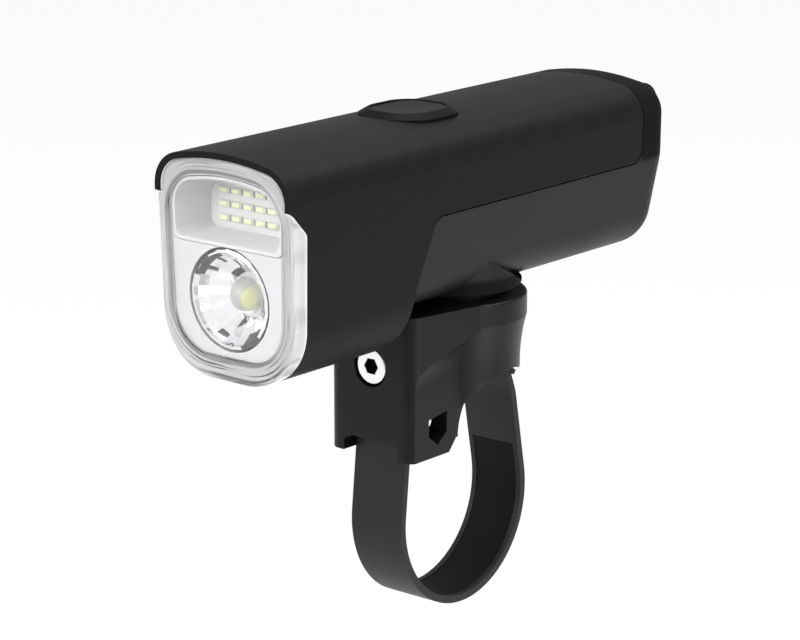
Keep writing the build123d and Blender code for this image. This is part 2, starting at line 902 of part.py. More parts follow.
def cell_insulator():
    ring = round_y(cell_ring_radius, cell_front_y + cell_button_height - cell_ring_wall,
                   cell_front_y + cell_button_height, 0, cell_z)
    return ring - round_y(cell_button_radius + cell_ring_wall, cell_front_y - cut_overrun, cell_z, 0, cell_z)


def contact_tabs():
    """Nickel strips from the two ends of the cell to the driver board."""
    half, wall = tab_strip_half_width, tab_strip_wall
    x = (-half, half)
    front = block(x, (cell_front_y - wall, cell_front_y), (cell_z - half, driver_z))
    over = cell_z + cell_radius + cradle_gap
    _, board_rear = driver_y_limits()
    rear = block(x, (cell_rear_y, cell_rear_y + wall), (cell_z - half, over + wall))
    rear += block(x, (cell_rear_y - cell_radius, cell_rear_y + wall), (over, over + wall))
    return Compound([front.solid(), rear.solid()])


def battery_pads():
    """Foam pads between the cell and the floor of the lower cover."""
    pads = []
    pitch = (cell_length - cell_pad_length) / cell_pad_count
    for index in range(cell_pad_count):
        start = cell_front_y + pitch * (index + 1) - cell_pad_length / 2
        pad = block((-cell_pad_half_width, cell_pad_half_width), (start, start + cell_pad_length),
                    (belly_z + cover_wall, cell_z))
        pads.append((pad - round_y(cell_radius, start - cut_overrun, start + cell_pad_length + cut_overrun,
                                   0, cell_z)).solid())
    return Compound(pads)


def battery_cradle():
    """Saddle on top of the cell that carries the driver board."""
    low, high = cell_front_y + cell_radius, cell_front_y + cell_radius + cradle_length
    body = block((-cradle_half_width, cradle_half_width), (low, high), (cell_z + cell_radius / 2, driver_z))
    body -= round_y(cell_radius + cradle_gap, low - cut_overrun, high + cut_overrun, 0, cell_z)
    pitch = cradle_length / 3
    for index in range(3):
        middle = low + pitch * (index + 1 / 2)
        half = cradle_window_length / 2
        body -= block((-cradle_window_half_width, cradle_window_half_width), (middle - half, middle + half),
                      (cell_z, driver_z + cut_overrun))
    return body


def driver_y_limits():
    return twist_y - driver_front_reach, twist_y + driver_rear_reach


def driver_board():
    low, high = driver_y_limits()
    face = rounded_box_face(driver_half_width, (high - low) / 2, driver_corner_radius, 0, (low + high) / 2)
    return up_z(face, driver_z, driver_z + driver_wall)


def board_components():
    """Inductor, chips and capacitors on top of the driver board, ahead of the switch."""
    items = []
    front, _ = driver_y_limits()
    unit = button_y - switch_half_size - front
    low = driver_z + driver_wall
    for x_share, y_share, wide_share, long_share, height_share in part_rows_share:
        x, y = x_share * driver_half_width, front + unit * (1 + y_share) / 2
        wide, long = wide_share * driver_half_width / 2, long_share * unit / 4
        high = low + height_share * driver_wall
        item = block((x - wide, x + wide), (y - long, y + long), (low, high))
        items.append(chamfer(item.faces().sort_by(Axis.Z)[-1].edges(), driver_wall / 8).solid())
    return Compound(items)


def button_foot_z():
    return head_top_z - button_frame_depth - button_gap / 2 - button_foot_wall


def switch_body():
    low, high = driver_z + driver_wall, button_foot_z() - button_travel - switch_stroke_room
    half = switch_half_size
    body = block((-half, half), (button_y - half, button_y + half), (low, high))
    return body - round_z(switch_plunger_radius + switch_plunger_gap, low + switch_stroke_room, high + cut_overrun,
                          0, button_y)


def switch_plunger():
    low = driver_z + driver_wall + 2 * switch_stroke_room + button_travel
    return round_z(switch_plunger_radius, low, button_foot_z(), 0, button_y)


def button_frame():
    """Raised surround of the button, with a flange under the casing's roof."""
    low, high = head_top_z - button_frame_depth, head_top_z + button_rise
    body = button_prism(0, low, high)
    body = chamfer(body.faces().sort_by(Axis.Z)[-1].edges(), button_rise, button_rim_slope)
    body += button_prism(button_flange, low, low + button_flange_wall)
    return body - button_prism(-button_rim, low - cut_overrun, high + cut_overrun)


def button_cap():
    low, high = head_top_z - button_frame_depth, head_top_z + button_rise - button_set_down
    inset = -button_rim - button_gap
    body = button_prism(inset, button_foot_z(), high)
    body += button_prism(inset + button_flange, button_foot_z(), button_foot_z() + button_foot_wall)
    dish = Pos(0, button_y, high + button_dish_radius - button_dish_depth) * Sphere(button_dish_radius)
    return body - dish


def port_face(grow):
    """Stadium outline of the charging port."""
    half, high = usb_half_width + usb_shell_wall + grow, usb_half_height + usb_shell_wall + grow
    return Pos(0, socket_z) * rounded_box_face(half, high, high - grow / 8)


def usb_socket():
    high = tail_y - usb_sink
    low = high - usb_length
    shell = along_y(port_face(0), low, high)
    inner = Pos(0, socket_z) * rounded_box_face(usb_half_width, usb_half_height, usb_half_height * (1 - usb_shell_wall / 8))
    shell -= along_y(inner, low + usb_shell_wall, high + cut_overrun)
    half = usb_half_width - usb_half_height
    tongue = block((-half, half), (low, high - usb_half_height),
                   (socket_z - usb_tongue_wall / 2, socket_z + usb_tongue_wall / 2))
    return shell + tongue


def usb_board():
    """Small upright board that carries the socket behind the cell."""
    high = tail_y - usb_sink - usb_length
    low = high - usb_board_wall
    half = usb_board_half_width
    return block((-half, half), (low, high), (socket_z - half, socket_z + half))


def hinge_y():
    return tail_y + flap_bead_radius + flap_hinge_gap


def hinge_z():
    return socket_z - flap_half_height - flap_bead_radius - flap_hinge_gap


def anchor_z():
    return hinge_z() - flap_bead_radius - flap_hinge_gap - anchor_height / 2


def port_cover():
    """Rubber flap over the port, with a plug that enters it and a bead that turns on the rod."""
    face = Pos(0, socket_z) * rounded_box_face(flap_half_width, flap_half_height, flap_half_height / 2)
    body = along_y(face, tail_y, tail_y + flap_wall)
    body = fillet(body.faces().sort_by(Axis.Y)[-1].edges(), flap_round)
    half, high = usb_half_width - flap_plug_gap, usb_half_height - flap_plug_gap
    plug = Pos(0, socket_z) * rounded_box_face(half, high, high / 2)
    body += along_y(plug, tail_y - flap_plug_depth, tail_y)
    half = flap_tab_half_width
    body += block((-half, half), (hinge_y() - flap_bead_radius, tail_y + flap_wall), (hinge_z(), socket_z - high))
    body += round_x(flap_bead_radius, half, hinge_y(), hinge_z())
    return body - round_x(flap_rod_radius + pin_running_gap, half + cut_overrun, hinge_y(), hinge_z())


def port_anchor():
    """Fixed root of the rubber flap, pegged into the lower cover, with the rod between its ears."""
    z = anchor_z()
    face = Pos(0, z) * rounded_box_face(anchor_half_width, anchor_height / 2, anchor_height / 3)
    body = along_y(face, tail_y, tail_y + flap_wall)
    body = fillet(body.faces().sort_by(Axis.Y)[-1].edges(), flap_round)
    ears = block((-anchor_half_width, anchor_half_width), (tail_y, tail_y + flap_wall), (z, hinge_z()))
    ears += round_x(flap_bead_radius, anchor_half_width, hinge_y(), hinge_z())
    gap = flap_tab_half_width + flap_hinge_gap
    ears -= block((-gap, gap), (tail_y - cut_overrun, tail_y + 2 * flap_wall),
                  (hinge_z() - flap_bead_radius - flap_hinge_gap, socket_z))
    body += ears + round_x(flap_rod_radius, anchor_half_width, hinge_y(), hinge_z())
    return body + round_y(anchor_peg_radius, tail_y - cap_wall, tail_y, 0, z)


def saddle_cut(radius, half_length):
    return round_x(radius, half_length, 0, 0)


def column_profile():
    """Half outline of the base's round column, flaring up from the leg."""
    top, foot = column_radius, column_foot_radius
    low = -leg_drop
    mid_z = (column_foot_height + low) / 2
    mid_r = (foot + flare_foot_radius) / 2 + flare_bulge
    flare = Face(Wire([
        Edge.make_line((0, 0, low), (flare_foot_radius, 0, low)),
        Edge.make_three_point_arc((flare_foot_radius, 0, low), (mid_r, 0, mid_z), (foot, 0, column_foot_height)),
        Edge.make_line((foot, 0, column_foot_height), (0, 0, column_foot_height)),
        Edge.make_line((0, 0, column_foot_height), (0, 0, low)),
    ]))
    crease = column_foot_height + column_cove_height
    cove_z = column_foot_height + column_cove_height / 2
    cove_r = (top + foot) / 2 - column_cove_depth
    cove = Face(Wire([
        Edge.make_line((0, 0, column_foot_height), (foot, 0, column_foot_height)),
        Edge.make_three_point_arc((foot, 0, column_foot_height), (cove_r, 0, cove_z), (top, 0, crease)),
        Edge.make_line((top, 0, crease), (0, 0, crease)),
        Edge.make_line((0, 0, crease), (0, 0, column_foot_height)),
    ]))
    drum = rounded_face([(0, crease, 0), (top, crease, 0), (top, base_top_z, base_edge_round), (0, base_top_z, 0)])
    return flare, cove, Plane.XZ * drum


def leg_plan():
    """Plan outline of the leg, from its square front to the column's sides."""
    half, corner = base_half_width, base_corner_radius
    radius = (column_radius + column_foot_radius) / 2
    ahead = twist_y - base_front_y - corner
    angle = atan2(ahead, half) - acos(radius / hypot(half, ahead))
    x, y = radius * cos(angle), twist_y - radius * sin(angle)
    return rounded_face([(-half, base_front_y, corner), (half, base_front_y, corner), (x, y, 0), (-x, y, 0)])


def flare_cut():
    """Tilted hollow beside the leg, under which the leg widens to the column."""
    half, far, reach = base_half_width, base_half_width + 2 * flare_radius, 2 * column_radius
    face = rounded_face([(half, -reach, 0), (far, -reach, 0), (far, flare_lift, 0), (half, flare_lift, flare_radius)])
    return Rot(flare_tilt, 0, 0) * along_y(face, -reach, reach)


def mount_base():
    low = -leg_drop
    body = up_z(leg_plan(), low, base_top_z)
    body -= flare_cut()
    body -= mirror(flare_cut(), about=Plane.YZ)
    for outline in column_profile():
        body += Pos(0, twist_y, 0) * revolve(outline, Axis.Z)
    body -= block((-head_half_width, head_half_width), (0, twist_y + 2 * column_radius),
                  (low - cut_overrun, column_foot_height))
    body -= saddle_cut(saddle_radius, head_half_width)
    body -= across_x(rounded_face([
        (-saddle_radius - leg_lead_in, low, 0), (-saddle_radius, 0, 0), (0, 0, 0), (0, low - cut_overrun, 0),
        (-saddle_radius - leg_lead_in, low - cut_overrun, 0)]), head_half_width)
    body -= strap_front_room() + strap_mouth() + bolt_room() + slider_channel()
    body -= strap_throat()
    for side in (-1, 1):
        body -= side_window(side)
    body -= round_x(pin_radius + pin_running_gap, pin_length / 2, pin_y, pin_height)
    return body - round_z(socket_radius(), socket_floor_z, base_top_z + cut_overrun)


def strap_front_room():
    """Hollow of the leg in which the strap's front eye hangs on its pin."""
    half = strap_width / 2 + strap_slot_gap
    front = base_front_y + front_wall
    rear = -saddle_radius - leg_rear_wall
    top = pin_height + pin_radius + strap_wall + eye_room
    return across_x(rounded_face([(front, -leg_drop - cut_overrun, 0), (front, top, strap_slot_round),
                                  (rear, top, strap_slot_round), (rear, -leg_drop - cut_overrun, 0)]), half)


def strap_mouth():
    """Arched notch in the front wall through which the strap leaves downwards."""
    half = strap_width / 2 + strap_slot_gap
    low = -leg_drop - cut_overrun
    face = rounded_face([(-half, low, 0), (-half, strap_slot_top, strap_slot_round),
                         (half, strap_slot_top, strap_slot_round), (half, low, 0)])
    return along_y(face, base_front_y - cut_overrun, base_front_y + front_wall + cut_overrun)


def bolt_room():
    """Counterbore of the bolt's head and the bore of its shank."""
    seat = bolt_seat_y + washer_wall
    room = round_y(washer_radius + counterbore_gap, base_front_y - cut_overrun, seat, 0, bolt_z)
    return room + round_y(bolt_radius + bolt_bore_gap, base_front_y, 0, 0, bolt_z)


def slider_y_limits():
    front = nut_ahead_of_rest - slider_wall
    return front, nut_ahead_of_rest + nut_length + slider_tail


def slider_channel():
    """Room for the strap's sliding head, above the saddle."""
    front, rear = slider_y_limits()
    half = slider_half_width + channel_gap
    return block((-half, half), (front - clamp_travel - channel_gap, rear + channel_gap),
                 (channel_floor_z, channel_top_z))


def strap_throat():
    """Slot in the channel's floor through which the strap comes up."""
    half = strap_width / 2 + strap_slot_gap
    front, rear = slider_y_limits()
    return block((-half, half), (nut_ahead_of_rest + nut_length - nut_gap, rear + channel_gap),
                 (0, channel_floor_z + cut_overrun))


def side_window(side):
    """Shield-shaped window in a cheek of the leg."""
    front = pin_y - window_ahead_of_pin
    rear = front + window_width
    low, high = window_low, window_low + window_height
    point = low + window_height * window_point_share
    face = rounded_face([(front, high - window_height / 8, 0), (rear, high, 0), (rear, point, 0),
                         ((front + rear) / 2, low, 0), (front, point, 0)])
    hole = across_x(face, base_half_width + cut_overrun + column_radius)
    wide = column_radius + 2 * cut_overrun
    return hole & block(sorted((0, side * wide)), (front, rear), (low, high))


def socket_ring():
    """Ring in the mouth of the socket, notched where the foot's tabs enter."""
    low, high = ring_low_z(), base_top_z - ring_sink
    ring = round_z(socket_radius(), low, high) - round_z(socket_radius() - ring_lip, low - cut_overrun, high + cut_overrun)
    for turn in (90, 270):
        ring -= sector(socket_radius() - tab_gap / 3, notch_half_angle, low - cut_overrun, high + cut_overrun, turn)
    return ring


def saddle_pad():
    """Thin rubber lining of the saddle."""
    outer, inner = saddle_radius, bar_radius
    pad = saddle_cut(outer, saddle_half_width) - saddle_cut(inner, saddle_half_width + cut_overrun)
    rear = radians(saddle_rear_angle)
    reach = 2 * outer
    keep = across_x(rounded_face([(0, 0, 0), (reach * cos(rear), reach * sin(rear), 0),
                                  (0, reach, 0), (-reach, reach, 0), (-reach, 0, 0)]), head_half_width)
    return pad & keep


def arc_point(centre, radius, angle):
    return Vector(centre[0] + radius * cos(angle), centre[1] + radius * sin(angle))


def strap_route():
    """Centre line of the strap as tangent points: pin eye, big loop and the run past the bar."""
    eye = (pin_y, pin_height)
    eye_radius = pin_radius + pin_running_gap + strap_wall / 2
    loop = (-strap_loop_ahead, -strap_loop_drop)
    bar = bar_radius + strap_bar_gap + strap_wall / 2
    away = (eye[0] - loop[0], eye[1] - loop[1])
    front_angle = atan2(away[1], away[0]) + acos((strap_loop_radius - eye_radius) / hypot(*away))
    rear_angle = atan2(-loop[1], -loop[0]) - acos((strap_loop_radius - bar) / hypot(*loop))
    tail_y_here = nut_ahead_of_rest + nut_length + slider_tail / 2
    leave = atan2(channel_floor_z, tail_y_here) - acos(bar / hypot(tail_y_here, channel_floor_z))
    return {"eye": (eye, eye_radius, front_angle), "loop": (loop, strap_loop_radius, front_angle, rear_angle),
            "bar": ((0, 0), bar, rear_angle, leave), "top": (tail_y_here, channel_floor_z)}


def band_arc(centre, radius, start, end, inner, outer, half_width):
    """Curved stretch of a flat band between two angles, from an inner to an outer offset."""
    low, high, middle = radius + inner, radius + outer, (start + end) / 2
    face = Face(Wire([
        Edge.make_three_point_arc(arc_point(centre, high, start), arc_point(centre, high, middle),
                                  arc_point(centre, high, end)),
        Edge.make_line(arc_point(centre, high, end), arc_point(centre, low, end)),
        Edge.make_three_point_arc(arc_point(centre, low, end), arc_point(centre, low, middle),
                                  arc_point(centre, low, start)),
        Edge.make_line(arc_point(centre, low, start), arc_point(centre, high, start)),
    ]))
    return across_x(face, half_width)


def band_line(start, end, inner, outer, half_width):
    """Straight stretch of a flat band, with offsets counted to its right."""
    run = (end - start).normalized()
    side = Vector(run.Y, -run.X)
    corners = [start + side * inner, end + side * inner, end + side * outer, start + side * outer]
    return across_x(rounded_face([(c.X, c.Y, 0) for c in corners]), half_width)


def strap_run(inner, outer, half_width, rise=None):
    """Solid along the strap's loop, with its front run up to the pin, or else a rear run of a given rise."""
    route = strap_route()
    loop, radius, front_angle, rear_angle = route["loop"]
    turn = front_angle if front_angle > 0 else front_angle + 2 * pi
    lower = rear_angle + 2 * pi
    run = band_arc(loop, radius, turn, lower, inner, outer, half_width)
    if rise is None:
        eye, eye_radius, _ = route["eye"]
        top = arc_point(eye, eye_radius, front_angle)
        return run + band_line(arc_point(loop, radius, turn), top, -outer, -inner, half_width)
    bar = route["bar"][1]
    start = arc_point(loop, radius, rear_angle)
    along = (arc_point((0, 0), bar, rear_angle) - start).normalized()
    return run + band_line(start, start + along * rise, inner, outer, half_width)


def strap():
    half, wall = strap_width / 2, strap_wall / 2
    route = strap_route()
    body = strap_run(-wall, wall, half)
    eye, eye_radius, _ = route["eye"]
    ring = round_x(eye_radius + wall, half, *eye)
    loop, radius, _, rear_angle = route["loop"]
    _, bar, _, leave = route["bar"]
    body += band_line(arc_point(loop, radius, rear_angle), arc_point((0, 0), bar, rear_angle), -wall, wall, half)
    body += band_arc((0, 0), bar, rear_angle, leave, -wall, wall, half)
    body += band_line(arc_point((0, 0), bar, leave), Vector(*route["top"]), -wall, wall, half)
    body += ring
    body -= round_x(pin_radius + pin_running_gap, half + cut_overrun, *eye)
    body -= block((-2 * half, 2 * half), (0, strap_loop_radius), (channel_floor_z, channel_floor_z + 4 * strap_wall))
    return body - strap_run(-wall - cut_overrun, -wall + liner_inlay, half - liner_border, liner_rise)


def strap_liner():
    """Grippy lining let into the inner face of the strap's loop."""
    half, wall = strap_width / 2, strap_wall / 2
    return strap_run(-wall + liner_relief, -wall + liner_inlay, half - liner_border, liner_rise)


def anchor_pin():
    body = round_x(pin_radius, pin_length / 2, pin_y, pin_height)
    ends = body.faces().filter_by(GeomType.PLANE)
    return chamfer(ends[0].edges() + ends[-1].edges(), pin_radius / 6)


def clamp_bolt():
    head = round_y(bolt_head_radius, bolt_front_y, bolt_seat_y, 0, bolt_z)
    head = fillet(head.faces().sort_by(Axis.Y)[0].edges(), bolt_head_round)
    head -= hex_bar(hex_socket_half, bolt_front_y - cut_overrun, bolt_front_y + hex_socket_depth, 0, bolt_z)
    shank = round_y(bolt_radius, bolt_seat_y, bolt_seat_y + bolt_shank_length, 0, bolt_z)
    return head + shank


def bolt_washer():
    ring = round_y(washer_radius, bolt_seat_y, bolt_seat_y + washer_wall, 0, bolt_z)
    return ring - round_y(bolt_radius + bolt_bore_gap, base_front_y, 0, 0, bolt_z)


def strap_nut():
    half, up = nut_half_width, nut_half_height
    front = nut_ahead_of_rest
    body = block((-half, half), (front, front + nut_length), (bolt_z - up, bolt_z + up))
    body = chamfer(body.edges().filter_by(Axis.Y), up / 6)
    return body - round_y(bolt_radius + thread_gap, front - cut_overrun, front + nut_length + cut_overrun, 0, bolt_z)


def strap_slider():
    """Head of the strap that holds the nut and slides above the saddle."""
    front, rear = slider_y_limits()
    half, up = slider_half_width, nut_half_height
    body = block((-half, half), (front, rear), (channel_floor_z, bolt_z + up + slider_wall))
    pocket = nut_half_width + nut_gap
    body -= block((-pocket, pocket), (nut_ahead_of_rest - nut_gap, nut_ahead_of_rest + nut_length + nut_gap),
                  (channel_floor_z - cut_overrun, bolt_z + up + nut_gap))
    return body - round_y(bolt_radius + bolt_bore_gap, front - cut_overrun, rear + cut_overrun, 0, bolt_z)


parts = {
    "upper_casing": upper_casing,
    "front_lens": front_lens,
    "lens_gasket": lens_gasket,
    "bezel_plate": bezel_plate,
    "main_reflector": main_reflector,
    "flood_reflector": flood_reflector,
    "led_board": led_board,
    "main_led": main_led,
    "main_led_phosphor": main_led_phosphor,
    "main_led_dome": main_led_dome,
    "flood_leds": flood_leds,
    "thermal_pad": thermal_pad,
    "heat_sink": heat_sink,
    "led_board_screws": led_board_screws,
    "lower_cover": lower_cover,
    "cover_seal": cover_seal,
    "cap_screws": cap_screws,
    "twist_foot": twist_foot,
    "foot_screws": foot_screws,
    "battery_cell": battery_cell,
    "cell_insulator": cell_insulator,
    "contact_tabs": contact_tabs,
    "battery_pads": battery_pads,
    "battery_cradle": battery_cradle,
    "driver_board": driver_board,
    "board_components": board_components,
    "switch_body": switch_body,
    "switch_plunger": switch_plunger,
    "button_frame": button_frame,
    "button_cap": button_cap,
    "usb_socket": usb_socket,
    "usb_board": usb_board,
    "port_cover": port_cover,
    "port_anchor": port_anchor,
    "mount_base": mount_base,
    "socket_ring": socket_ring,
    "saddle_pad": saddle_pad,
    "strap": strap,
    "strap_liner": strap_liner,
    "anchor_pin": anchor_pin,
    "clamp_bolt": clamp_bolt,
    "bolt_washer": bolt_washer,
    "strap_nut": strap_nut,
    "strap_slider": strap_slider,
}

os.makedirs("parts", exist_ok=True)
for name, make in parts.items():
    export_step(make(), f"parts/{name}.step")
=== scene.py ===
"""Looks of the bicycle headlight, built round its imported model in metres."""
from math import pi, radians

import bpy
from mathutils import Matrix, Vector


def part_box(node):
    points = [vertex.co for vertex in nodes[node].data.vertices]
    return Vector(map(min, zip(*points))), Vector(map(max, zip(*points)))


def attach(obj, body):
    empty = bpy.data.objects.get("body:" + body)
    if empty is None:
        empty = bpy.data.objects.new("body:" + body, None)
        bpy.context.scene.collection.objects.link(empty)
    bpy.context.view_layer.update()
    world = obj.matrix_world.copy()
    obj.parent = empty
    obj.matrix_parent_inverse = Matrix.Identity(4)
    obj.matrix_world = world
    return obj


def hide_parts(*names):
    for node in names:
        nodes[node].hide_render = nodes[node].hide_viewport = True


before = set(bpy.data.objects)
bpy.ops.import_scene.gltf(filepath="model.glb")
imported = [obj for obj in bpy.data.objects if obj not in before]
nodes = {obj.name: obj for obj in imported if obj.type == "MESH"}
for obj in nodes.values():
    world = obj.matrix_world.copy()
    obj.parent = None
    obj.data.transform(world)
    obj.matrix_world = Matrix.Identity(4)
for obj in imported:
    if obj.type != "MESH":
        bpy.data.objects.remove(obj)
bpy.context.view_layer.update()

# Places and sizes on the light, in metres. The beam leaves towards -Y and +Z is up.
SPOT_AXIS = 0.0366
LED_FACE = -0.059
BOLT_HEIGHT = 0.0156
BOLT_SOCKET_RADIUS = 0.0018
CAP_SEAM = 0.0406
SIDE_SEAM = 0.0476
BELLY = 0.0281
BOSS_RADIUS = 0.0147
TWIST_AHEAD = 0.0017

# Outline of the lens window: straight foot, sides that widen upwards, arched top, round corners.
WINDOW_TOP = 0.0599
WINDOW_FOOT = 0.0256
WINDOW_FOOT_HALF = 0.0133
WINDOW_WIDENING = 0.0245
WINDOW_CROWN = 10.2
WINDOW_SHOULDER = 0.0064
WINDOW_KEEL = 0.0086

# Painted light in the lens rim. Each pair is where an effect starts and where it is full.
RIM_START = (-0.00008, 0.00004)
RIM_OUTLINE = (0.00085, 0.00060)
RIM_OUTLINE_SHARE = 0.62
RIM_EDGE_GLINT = (0.95, 0.95, 0.95)
STREAKS_ACROSS = 2600.0
STREAKS_ALONG = 70.0
STREAK_CUT = (0.52, 0.64)
STREAK_LOW_DOWN = (0.038, 0.026)
STREAK_SHARE = 0.35
STREAK_SHARE_LOW_DOWN = 0.6

# Painted yellow patch on the clear dome, standing in for the lamp's phosphor seen through it.
DOME_PATCH = (0.0021, 0, SPOT_AXIS)
DOME_PATCH_SQUEEZE = (1.6, 0, 0.8)
DOME_PATCH_FADE = (0.0021, 0.0013)

# Plated bowl: flat facets in rings, and which of them get a painted dark reflection.
BOWL_CENTRE = Vector((0, LED_FACE, SPOT_AXIS))
BOWL_FACETS = 22
BOWL_RINGS = 4
BOWL_THROAT = 0.0042
BOWL_RIM = 0.0090
BOWL_FRONT = -0.06565
BOWL_CURVE = 1.75
BOWL_WALL = 0.0006
BOWL_TRIM_PLACE = (0, -0.06488, SPOT_AXIS)
BOWL_TRIM_NORMAL = (0, -1, -0.028)
DARK_REFLECTION_RINGS_PER_METRE = 600.0
DARK_REFLECTION_TURN = 0.72
DARK_REFLECTION_TURN_WEIGHT = 0.6
DARK_REFLECTION_CUT = (1.08, 1.12)
DARK_REFLECTION_TINT = (0.10, 0.10, 0.105)

# Yellow pads on the flood lamps.
LAMP_ROWS, LAMP_COLUMNS = 3, 5
LAMP_WIDTH, LAMP_HEIGHT = 0.0025, 0.0012
PAD_SIZE = (0.0019, 0.0001, 0.00078)
PAD_CORNER = 0.00025
PAD_INSET = 0.00008
PAD_RAISE = 0.00003

# Pale sleeve in the gap round the lens: a painted-light sheet that stands in for light carried through the
# clear rim.
SEAT = -0.0570
EAR_FRONT = -0.0623
HOOD_FRONT = -0.0669
SLEEVE_START = SEAT - 0.0003
SLEEVE_OVERLAP = 0.0005
SLEEVE_MIDDLE = Vector((0, 0, 0.0426))
SLEEVE_CUT_HEIGHT = 0.0507
SLEEVE_CUT_SLANT = (0, -0.707, -0.707)
SLEEVE_GROWTH = (1.0025, 1, 1.002)
SLEEVE_WALL = 0.00003
MERGE_DISTANCE = 0.000002

# Numbers of the Mix node's sockets when it mixes colours.
MIX_SHARE, MIX_FIRST, MIX_SECOND, MIX_RESULT = 0, 6, 7, 2


def node(tree, kind, links=None, **values):
    """New shader node with settings, socket values and incoming links."""
    made = tree.nodes.new("ShaderNode" + kind)
    for key, value in values.items():
        if hasattr(made, key):
            setattr(made, key, value)
        else:
            made.inputs[key.replace("_", " ")].default_value = value
    for key, source in (links or {}).items():
        tree.links.new(source, made.inputs[key])
    return made


def feed(tree, socket, value):
    """Gives a socket another socket's output, a number or a colour without its alpha."""
    if isinstance(value, bpy.types.NodeSocket):
        tree.links.new(value, socket)
    elif isinstance(value, (int, float)):
        socket.default_value = value
    else:
        socket.default_value = [*value, 1]


def maths(tree, operation, first, second=0.0):
    """Sum, product or other operation of two sockets or numbers."""
    made = node(tree, "Math", operation=operation)
    feed(tree, made.inputs[0], first)
    feed(tree, made.inputs[1], second)
    return made.outputs[0]


def blend(tree, share, first, second):
    """Colour that goes from the first to the second as the share rises."""
    made = node(tree, "Mix", data_type="RGBA")
    for index, value in ((MIX_SHARE, share), (MIX_FIRST, first), (MIX_SECOND, second)):
        feed(tree, made.inputs[index], value)
    return made.outputs[MIX_RESULT]


def mix_shaders(tree, share, first, second):
    """Mix of two shader outputs."""
    made = node(tree, "MixShader")
    for socket, value in zip(made.inputs, (share, first, second)):
        feed(tree, socket, value)
    return made.outputs[0]


def step_up(tree, value, start, full):
    """Rise from nought to one between two values."""
    return node(tree, "MapRange", {"Value": value}, From_Min=start, From_Max=full).outputs["Result"]


def stretch(tree, value, low, high):
    """Stretches a share of nought to one over two other values."""
    return node(tree, "MapRange", {"Value": value}, To_Min=low, To_Max=high).outputs["Result"]


def own_place(tree):
    """Place on the object, in its own coordinates."""
    return node(tree, "TexCoord").outputs["Object"]


def own_place_parts(tree):
    """Place on the object as separate X, Y and Z outputs."""
    return node(tree, "SeparateXYZ", {"Vector": own_place(tree)}).outputs


def length(tree, vector):
    """Length of a vector."""
    return node(tree, "VectorMath", {"Vector": vector}, operation="LENGTH").outputs["Value"]


def axis_distance(tree, across, along):
    """Distance from an axis, from the two coordinates square to it."""
    return length(tree, node(tree, "CombineXYZ", {"X": across, "Y": along}).outputs[0])


def effect_group(name, inputs, outputs):
    """Empty shader node group with named number inputs and named outputs."""
    tree = bpy.data.node_groups.new(name, "ShaderNodeTree")
    for label, value in inputs.items():
        socket = tree.interface.new_socket(name=label, in_out="INPUT", socket_type="NodeSocketFloat")
        socket.default_value = value
    for label, kind in outputs.items():
        tree.interface.new_socket(name=label, in_out="OUTPUT", socket_type="NodeSocket" + kind)
    return tree, tree.nodes.new("NodeGroupInput"), tree.nodes.new("NodeGroupOutput")


def moulded_grain():
    """Fine pebbled skin of moulded plastic or blasted metal, with broad uneven patches."""
    tree, given, out = effect_group(
        "moulded grain",
        {"Size": 0.0004, "Patch size": 0.02},
        {"Height": "Float", "Speck": "Float", "Patches": "Float"})
    place = own_place(tree)
    pebble_scale = maths(tree, "DIVIDE", 1.0, given.outputs["Size"])
    patch_scale = maths(tree, "DIVIDE", 1.0, given.outputs["Patch size"])
    pebbles = node(tree, "TexNoise", {"Vector": place, "Scale": pebble_scale},
                   Detail=3.0, Roughness=0.6)
    specks = node(tree, "TexVoronoi", {"Vector": place, "Scale": pebble_scale})
    patches = node(tree, "TexNoise", {"Vector": place, "Scale": patch_scale},
                   Detail=2.0, Roughness=0.5)
    tree.links.new(pebbles.outputs["Fac"], out.inputs["Height"])
    tree.links.new(specks.outputs["Distance"], out.inputs["Speck"])
    tree.links.new(patches.outputs["Fac"], out.inputs["Patches"])
    return tree


def rounded_edge():
    """Soft rounding of sharp edges, and a mask of the same edges for light wear and for painted edge
    highlights.
    """
    tree, given, out = effect_group(
        "rounded edge",
        {"Wear size": 0.0006},
        {"Normal": "Vector", "Edge": "Float"})
    soft = node(tree, "Bevel", samples=6, Radius=0.00025)
    wide = node(tree, "Bevel", {"Radius": given.outputs["Wear size"]}, samples=4)
    match = node(tree, "VectorMath", operation="DOT_PRODUCT")
    tree.links.new(wide.outputs["Normal"], match.inputs[0])
    tree.links.new(node(tree, "NewGeometry").outputs["Normal"], match.inputs[1])
    mask = step_up(tree, match.outputs["Value"], start=0.995, full=0.80)
    tree.links.new(soft.outputs["Normal"], out.inputs["Normal"])
    tree.links.new(mask, out.inputs["Edge"])
    return tree


def handling_marks():
    """Fine hairline scuffs, broken up into short strokes."""
    tree, given, out = effect_group("handling marks", {"Amount": 0.3}, {"Marks": "Float"})
    place = own_place(tree)
    along = node(tree, "Mapping", {"Vector": place},
                 Rotation=(0.12, 0.05, 0.3), Scale=(1800.0, 130.0, 1500.0))
    strokes = node(tree, "TexNoise", {"Vector": along.outputs["Vector"]}, Scale=1.0, Detail=1.0)
    thin = step_up(tree, strokes.outputs["Fac"], start=0.66, full=0.78)
    breaks = node(tree, "TexNoise", {"Vector": place}, Scale=240.0, Detail=2.0)
    short = step_up(tree, breaks.outputs["Fac"], start=0.5, full=0.7)
    both = maths(tree, "MULTIPLY", thin, short)
    tree.links.new(maths(tree, "MULTIPLY", both, given.outputs["Amount"]), out.inputs["Marks"])
    return tree


GRAIN, EDGE, MARKS = moulded_grain(), rounded_edge(), handling_marks()


def placed(tree, group, **values):
    """Puts a shared effect into a material and sets its inputs."""
    made = tree.nodes.new("ShaderNodeGroup")
    made.node_tree = group
    for key, value in values.items():
        made.inputs[key.replace("_", " ")].default_value = value
    return made


def principled(name):
    """New node material, with its tree and its main shader."""
    material = bpy.data.materials.new(name)
    material.use_nodes = True
    return material, material.node_tree, material.node_tree.nodes["Principled BSDF"]


